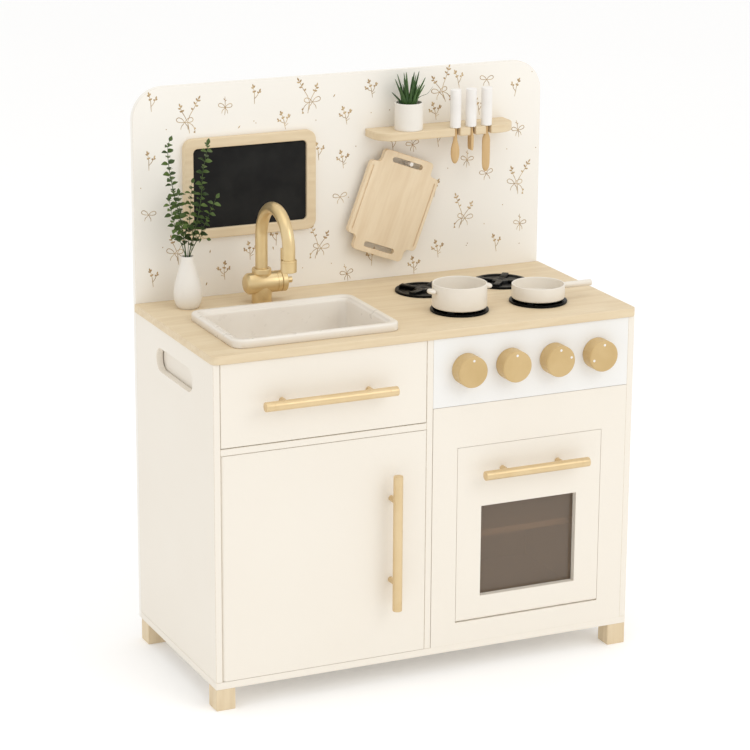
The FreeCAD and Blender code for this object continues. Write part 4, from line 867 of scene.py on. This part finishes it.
ACROSS, AHEAD = (1, 0, 0), (0, 1, 0)
TINE_STEP = 4.7
SPOON = ((-4, 2.7, 2.7), (0, 2.7, 2.7), (11, 2.6, 2.5), (17, 2.9, 2.4), (20, 3.8, 2.3), (23, 4.8, 2.3),
         (27, 5.9, 2.3),
         (32, 6.6, 2.3), (37, 6.6, 2.3), (42, 5.9, 2.2), (46, 4.5, 2.0), (48.6, 2.8, 1.6), (49.8, 1.2, 0.9))
PALM = ((-4, 2.7, 2.7), (0, 2.8, 2.7), (3, 3.4, 2.6), (7, 5.2, 2.5), (11, 6.3, 2.5), (16, 6.5, 2.4),
        (17, 6.2, 1.6))
TINE = ((12, 1.5, 2.2), (18, 1.55, 2.3), (28, 1.45, 2.1), (31.6, 1.1, 1.6), (32.9, 0.5, 0.7))
KNIFE = ((-4, 2.7, 2.7), (0, 2.7, 2.7), (11, 2.8, 2.6), (13.5, 4.0, 2.5), (17, 5.5, 2.4), (22, 6.1, 2.3),
         (40, 6.1, 2.2),
         (54, 5.9, 2.1), (59, 5.1, 1.9), (62.4, 3.5, 1.6), (64.2, 1.6, 0.9))
for tool, thin, profiles in (("spoon", AHEAD, (SPOON,)), ("fork", ACROSS, (PALM, TINE, TINE, TINE)),
                             ("knife", AHEAD, (KNIFE,))):
    spot = middle_of(f"{tool}_handle")
    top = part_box(f"{tool}_handle")[0].z / MM
    bm = bmesh.new()
    for index, profile in enumerate(profiles):
        carved(bm, spot.x, spot.y + (0, -TINE_STEP, 0, TINE_STEP)[index], top, profile, thin)
    settle(bm, f"{tool}_carved", tool, "utensil_wood", stands_for=(f"{tool}_head",), crease=60.0)
print("heads carved")

# %% [markdown]
# ## Vase
# A small matte bottle vase with a drop-shaped belly and a narrow neck. The outline runs up the
# outside, over the lip and down the inside, so the wall has a real thickness.

# %% Vase
VASE_OUTSIDE = ((0, 0.6), (11.4, 0.6), (12.2, 0), (13.2, 0.5), (15.0, 3), (16.8, 6.5), (18.2, 11),
                (18.9, 16),
                (19.0, 20.5), (18.6, 26), (17.6, 32), (16.1, 38), (14.3, 44), (12.4, 50), (10.6, 56),
                (9.2, 61),
                (8.5, 65.5), (8.3, 68.5), (8.1, 69.6), (7.6, 70), (7.0, 69.6), (6.8, 68), (7.2, 63),
                (8.8, 55),
                (12.2, 44), (15.6, 33), (17.0, 23), (16.4, 11), (12.6, 4), (0, 2.4))
low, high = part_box("vase")
bm = bmesh.new()
turned(bm, VASE_OUTSIDE, 64)
lay(bm, list(bm.verts), (middle_of("vase").x, middle_of("vase").y, low.z / MM))
settle(bm, "vase_turned", "vase", "white_ceramic", stands_for=("vase",), crease=60.0)
vase_axis = middle_of("vase")
print("vase axis", [round(value, 1) for value in vase_axis])

# %% [markdown]
# ## Sprigs
# Two tall artificial sprigs stand in the vase with shorter side shoots. Oval leaves sit in pairs
# along each stem, each pair turned a quarter from the one below. A leaf starts as a small grid
# whose rows are narrowed to an oval, folded along its rib and given a thickness.

# %% A leaf
dice = random.Random(7)


def leaf(bm, root, way, normal, length, width, tint):
    """An oval folded leaf that grows from the root along its way."""
    grid = bmesh.ops.create_grid(bm, x_segments=5, y_segments=2, size=0.5)["verts"]
    for vert in grid:
        along, side = vert.co.x + 0.5, vert.co.y * 2
        wide = width / 2 * (math.sin(math.pi * min(along * 0.96 + 0.03, 1.0) ** 0.85) + 0.04)
        vert.co = Vector((along * length, side * wide,
                          abs(side) * wide * 0.45 - along * along * length * 0.16))
    way, normal = Vector(way).normalized(), Vector(normal)
    across = normal.cross(way).normalized()
    normal = way.cross(across)
    place = Matrix((way * MM, across * MM, normal * MM)).transposed().to_4x4()
    place.translation = Vector(root) * MM
    bmesh.ops.transform(bm, matrix=place, verts=grid)
    blade = list({face for vert in grid for face in vert.link_faces})
    bmesh.ops.recalc_face_normals(bm, faces=blade)
    grown = bmesh.ops.solidify(bm, geom=blade, thickness=0.35 * MM)["geom"]
    layer = bm.faces.layers.float["tint"]
    for face in blade + [part for part in grown if isinstance(part, bmesh.types.BMFace)]:
        face[layer] = tint


# %% Sprigs in the vase
def shoot(bm, points, thick, gap, first, size):
    """A stem with pairs of leaves from a first share of its length to its tip."""
    line = curved(points, 6)
    radii = [thick * (1.0 - 0.7 * index / (len(line) - 1)) for index in range(len(line))]
    swept(bm, line, radii, sides=6, tint=0.15)
    lengths = [0.0]
    for before, after in zip(line, line[1:]):
        lengths.append(lengths[-1] + (after - before).length)
    spot, count = first * lengths[-1], 0
    while spot < lengths[-1] - 2:
        index = max(i for i, value in enumerate(lengths) if value <= spot)
        way = (line[min(index + 1, len(line) - 1)] - line[index]).normalized()
        root = line[index] + way * (spot - lengths[index])
        out = Vector((1, 0, 0)) if count % 2 else Vector((0.55, 1, 0))
        out = (out + Vector((dice.uniform(-0.3, 0.3), dice.uniform(-0.4, 0.4), 0))).normalized()
        out = (out - way * out.dot(way)).normalized()
        shrink = 1.0 - 0.25 * spot / lengths[-1]
        for side in (-1, 1):
            lift = dice.uniform(0.1, 0.45)
            aim = (out * side + way * lift).normalized()
            face_up = (way - aim * way.dot(aim)).normalized() + Vector((0, -dice.uniform(0.2, 0.9), 0))
            grown = size * shrink * dice.uniform(0.85, 1.15)
            leaf(bm, root + aim * 0.8, aim, face_up, grown, grown * dice.uniform(0.66, 0.78),
                 dice.uniform(0, 0.8))
        spot += gap * dice.uniform(0.85, 1.15)
        count += 1
    way = (line[-1] - line[-2]).normalized()
    leaf(bm, line[-1], way + Vector((0.3, 0, 0)), Vector((0, -1, 0.3)), size * 0.66, size * 0.46, 0.3)


x, y, z = vase_axis.x, vase_axis.y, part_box("vase")[0].z / MM
SHOOTS = (
    # points from the vase's foot, stem radius, leaf gap, first leaf, leaf size
    (((-1, 0, 6), (-2, 1, 69), (-7, 1, 110), (-17, 0, 152), (-24, -1, 189), (-26, -2, 214), (-24, -3, 226)),
     0.95,
     7.6, 0.36, 11.6),
    (((1, 0, 6), (2.5, 0, 69), (10, -2, 103), (18, -4, 142), (21, -5, 181), (26, -6, 205), (27, -7, 219)),
     0.95,
     7.4, 0.36, 11.6),
    (((2, -1, 60), (4, -2, 74), (18, -6, 103), (29, -9, 128), (37, -11, 147)), 0.7, 7.2, 0.36, 11.4),
    (((2, 0, 60), (5, 0, 74), (11, -2, 95), (25, -6, 92)), 0.5, 12.0, 0.62, 9.6),
    (((-2, 0, 60), (-4, -1, 74), (-14, -3, 100), (-22, -5, 125), (-27, -6, 150)), 0.7, 7.2, 0.36, 11.0),
    (((-1, 2, 60), (-1, 3, 74), (-5, 8, 117), (-8, 11, 152)), 0.6, 7.6, 0.4, 11.0),
    (((1, 2, 60), (2, 3, 74), (7, 7, 124), (11, 9, 165)), 0.6, 7.6, 0.4, 11.0),
)
bm = tinted_mesh()
for points, thick, gap, first, size in SHOOTS:
    part = tinted_mesh()
    shoot(part, [(x + dx, y + dy, z + dz) for dx, dy, dz in points], thick, gap, first, size)
    gather(bm, part)
sprigs = settle(bm, "sprig_bunch", "vase", "leaf_green", stands_for=("vase_sprigs",), crease=70.0)
print("sprig faces:", len(sprigs.data.polygons))

# %% [markdown]
# ## Planter
# A white cylinder pot with soil and a small aloe. The soil is a disc with an uneven top. Each
# aloe leaf is a flattened ring swept along an outward curve and drawn to a point.

# %% Soil and aloe
low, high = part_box("planter_soil")
centre = (low + high) / 2 / MM
bm = bmesh.new()
radius = (high.x - low.x) / 2 / MM - 0.1
turned(bm, [(0, 0), (radius, 0),
            (radius, 10.2)] + [(radius * (10 - step) / 10, 10.4) for step in range(1, 11)], 48)
for vert in bm.verts:
    if vert.co.z > 10.3 * MM:
        vert.co.z += dice.uniform(-0.7, 1.2) * MM
lay(bm, list(bm.verts), (centre.x, centre.y, low.z / MM))
settle(bm, "planter_earth", "planter", "soil", stands_for=("planter_soil",), crease=80.0)

# where each leaf's tip is, to the right, to the back and up from the middle of the soil
ALOE_TIPS = ((-22, -2, 38), (-24, 4, 19), (-15, 6, 43), (-7, 2, 45), (0, 9, 44), (4, -7, 37),
             (16.5, 3, 45.5),
             (13, 11, 43), (26, 3, 36), (21, -6, 28), (-18, -9, 28), (-12, -12, 33), (10, -13, 30),
             (-3, -15, 26),
             (17, 13, 31), (-13, 15, 32), (3, 17, 33), (-6, -5, 41), (9, -3, 42),
             (-10, -1, 30), (12, -2, 27), (1, -8, 24), (-4, 8, 36), (8, 6, 38))
bm = tinted_mesh()
root_z = high.z / MM - 2.5
for index, (dx, dy, dz) in enumerate(ALOE_TIPS):
    spread = Vector((dx, dy, 0))
    root = Vector((centre.x, centre.y, root_z)) + spread * 0.2
    tip = Vector((centre.x + dx, centre.y + dy, high.z / MM + dz))
    knee = root + spread * 0.38 + Vector((0, 0, (dz + 2.5) * 0.5))
    line = curved([root, (root * 2 + knee) / 3 + spread * 0.06, knee, (knee + tip * 1.4) / 2.4, tip], 3)
    shares = [step / (len(line) - 1) for step in range(len(line))]
    radii = [3.5 * (1 - share) ** 0.62 * (0.86 + 0.3 * math.sin(math.pi * min(share * 2,
                                                                              1))) for share in shares]
    swept(bm, line, radii, sides=8, flat=0.7, facing=spread + Vector((0.01, 0, 0)),
          tint=dice.uniform(0.0, 0.75))
tendril = curved([(centre.x + 4, centre.y, root_z), (centre.x + 15, centre.y - 1, high.z / MM + 10),
                  (centre.x + 27, centre.y - 1, high.z / MM + 14),
                  (centre.x + 35, centre.y - 1, high.z / MM + 23)], 4)
swept(bm, tendril, [0.5 - 0.03 * index for index in range(len(tendril))], sides=6, tint=0.1)
aloe = settle(bm, "aloe", "planter", "leaf_green", finishes=("aloe_green",), stands_for=("succulent",),
              crease=70.0)
print("aloe faces:", len(aloe.data.polygons))

# %% [markdown]
# ## Printed back board
# The board carries a loose pattern of drawn twigs, seeds and bows. Each line is a ring swept
# almost flat, a tenth of a millimetre over the board, so the ink has crisp edges at any size.
# Four small drawings are repeated with a little turn, and every second one is mirrored.

# %% Drawing in ink
board_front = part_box("back_board")[0].y / MM
INK_LIFT, PRINT_SCALE = 0.06, 1.15


def draw_line(sheet, place, points, width=0.42, steps=3):
    """An ink line through points of a drawing; its ends are thinner."""
    line = curved([place @ Vector((u, 0, v)) for u, v in points], steps)
    last = len(line) - 1
    radii = [width * (0.55 + 0.45 * math.sin(math.pi * (0.12 + 0.8 * index / last)))
             for index in range(len(line))]
    swept(sheet, line, radii, sides=4, flat=0.12, facing=(0, 1, 0))


def draw_seed(sheet, place, u, v, angle, length=3.6, width=1.15):
    """A filled seed or small leaf that points along an angle in degrees."""
    way = Vector((math.cos(math.radians(angle)), 0, math.sin(math.radians(angle))))
    root = Vector((u, 0, v))
    line = [place @ (root + way * length * share) for share in (0.0, 0.3, 0.62, 1.0)]
    swept(sheet, line, [0.12, width * 0.9, width, 0.1], sides=6, flat=0.05, facing=(0, 1, 0))


def twig(sheet, place, points, seeds):
    """A drawn twig: a line and seeds given as (place on the line, angle)."""
    draw_line(sheet, place, points)
    line = curved([(u, 0, v) for u, v in points], 8)
    for share, angle, length in seeds:
        spot = line[round(share * (len(line) - 1))]
        draw_seed(sheet, place, spot.x, spot.z, angle, length)


def bow(sheet, place, u, v, size=1.0):
    """A ribbon bow: two loops, a knot and two tails."""
    for side in (-1, 1):
        loop = [(0.3, 0.2), (2.6, 3.2), (6.6, 4.8), (8.8, 3.2), (8.0, 0.9), (4.4, -0.1), (0.3, 0.1)]
        draw_line(sheet, place, [(u + side * a * size, v + b * size) for a, b in loop], 0.48)
        tail = [(0.2, 0.0), (1.6, -2.2), (3.2, -4.0), (3.9, -7.4)]
        draw_line(sheet, place, [(u + side * a * size, v + b * size) for a, b in tail], 0.44)
    draw_seed(sheet, place, u - 0.9 * size, v, 0, 1.8 * size, 0.7)


# %% The drawings
def small_sprig(sheet, place):
    twig(sheet, place, [(0.8, -11), (0.2, -5), (-0.4, 1), (-2.4, 8)],
         [(1.0, 108, 4.2), (0.94, 60, 3.4), (0.9, 155, 3.4), (0.72, 140, 3.0), (0.74, 35, 2.6)])
    twig(sheet, place, [(0.3, -5), (3.2, -1.4), (5.6, 3.4)],
         [(1.0, 72, 3.8), (0.9, 20, 3.0), (0.75, 118, 2.8)])


def seed_sprig(sheet, place):
    small_sprig(sheet, place)
    twig(sheet, place, [(0.1, -3.2), (-3.2, -1.6), (-6.4, 1.2)],
         [(1.0, 130, 3.2), (0.85, 200, 2.6), (0.7, 95, 2.4)])
    draw_seed(sheet, place, 6.8, 4.6, 10, 2.2, 1.0)
    draw_line(sheet, place, [(0.4, -7), (2.8, -5.4), (4.8, -4.6)], 0.38)


def spray(sheet, place):
    twig(sheet, place, [(1, -7), (3.6, 1), (8.2, 9), (13.0, 19)],
         [(1.0, 62, 5.0), (0.93, 118, 4.2), (0.9, 12, 4.2), (0.78, 128, 4.4), (0.74, 0, 4.2),
          (0.6, 130, 3.4)])
    twig(sheet, place, [(0.6, -6.4), (-3.0, 0), (-6.6, 5.4), (-8.6, 10.5)],
         [(1.0, 112, 4.6), (0.9, 60, 3.8), (0.84, 168, 3.8), (0.66, 30, 3.4), (0.62, 160, 3.2)])
    draw_line(sheet, place, [(1, -7), (2.4, -13), (3.8, -20)], 0.5)
    twig(sheet, place, [(1.6, -7.4), (6.6, -10.2), (9.8, -15), (10.8, -20)],
         [(0.6, -30, 2.6), (0.85, -130, 2.4)])
    bow(sheet, place, -2.6, -7.2, 1.15)


def bow_sprig(sheet, place):
    bow(sheet, place, 0, -2.0, 0.95)
    draw_line(sheet, place, [(0, -2), (-0.3, 3), (-1.2, 10.5)], 0.38)
    draw_line(sheet, place, [(0, -2), (0.4, -6), (0.2, -11)], 0.4)
    draw_seed(sheet, place, -0.8, 5.0, 40, 2.6, 0.6)
    draw_seed(sheet, place, -0.8, 6.5, 140, 2.6, 0.6)


# %% Print the board
PRINT = {
    small_sprig: ((-274, 744), (-128, 744), (-278, 666), (-276, 508), (-98, 548), (-36, 660), (172, 744),
                  (262, 726),
                  (234, 508), (140, 594), (204, 704), (74, 662), (142, 664), (44, 506)),
    seed_sprig: ((-86, 706), (-174, 508), (-136, 532), (42, 740), (4, 706), (138, 702), (0, 646),
                 (144, 508),
                 (108, 488)),
    spray: ((-224, 722), (-48, 736), (-240, 546), (-34, 534), (146, 736), (266, 598), (184, 556)),
    bow_sprig: ((-170, 732), (266, 668), (188, 632), (272, 534), (6, 488), (104, 660)),
    bow: ((-280, 594), (216, 740), (-4, 594), (218, 608)),
}
LEFT_HANDED = {(-48, 736), (-34, 534), (184, 556), (-174, 508), (262, 726), (-98, 548), (140, 594),
               (44, 506)}
SPECKS = ((-130, 708), (-127, 705), (-16, 502), (-40, 702), (-254, 706), (-260, 548), (20, 662), (188, 508),
          (191, 511), (42, 706), (70, 708), (295, 638), (287, 746), (159, 620), (245, 561), (271, 503),
          (9, 592),
          (216, 536), (-80, 512), (-150, 560), (250, 640), (-290, 630), (60, 680), (-60, 500), (120, 560))
FLECKS = ((-14, 732, 60), (-194, 534, 80), (-102, 530, 100), (-200, 490, 70), (-152, 700, 50),
          (24, 520, 120))
count = 0
ink = bmesh.new()
for drawing, spots in PRINT.items():
    for spot in spots:
        turn = Matrix.Rotation(math.radians(dice.uniform(-9, 9)), 4, "Y")
        place = Matrix.Translation((spot[0], board_front - INK_LIFT,
                                    spot[1])) @ turn @ Matrix.Scale(PRINT_SCALE, 4)
        if spot in LEFT_HANDED:
            place = place @ Matrix.Scale(-1, 4, (1, 0, 0))
        part = bmesh.new()
        if drawing is bow:
            bow(part, place, 0, 0, 1.0)
        else:
            drawing(part, place)
        gather(ink, part)
        count += 1
part = bmesh.new()
still = Matrix.Translation((0, board_front - INK_LIFT, 0))
for u, v in SPECKS:
    draw_seed(part, still, u, v, dice.uniform(0, 180), 1.6, 0.8)
for u, v, angle in FLECKS:
    draw_seed(part, still, u, v, angle, 4.8, 0.8)
gather(ink, part)
ink_piece = settle(ink, "board_print", "carcass", "printed_board", finishes=("ink",), crease=80.0)
print(count, "drawings,", len(ink_piece.data.polygons), "faces")

# %% [markdown]
# ## Floor
# A plain pale floor far larger than the kitchen. It belongs to the studio, not to the kitchen.

# %% Floor
bm = bmesh.new()
bmesh.ops.create_grid(bm, x_segments=1, y_segments=1, size=14.0)
mesh = bpy.data.meshes.new("floor")
bm.to_mesh(mesh)
bm.free()
floor = bpy.data.objects.new("floor", mesh)
scene.collection.objects.link(floor)
made, tree, shader, coords = new_finish("pale_floor", {"Roughness": 0.9, "Specular IOR Level": 0.1})
haze = noise(tree, coords, 0.6, 1.0)
tree.links.new(mixed(tree, haze, (0.93, 0.925, 0.92, 1), (0.95, 0.945, 0.94, 1)),
               shader.inputs["Base Color"])
shader.inputs["Emission Color"].default_value = (1.0, 1.0, 1.0, 1.0)
shader.inputs["Emission Strength"].default_value = 0.13
mesh.materials.append(made)
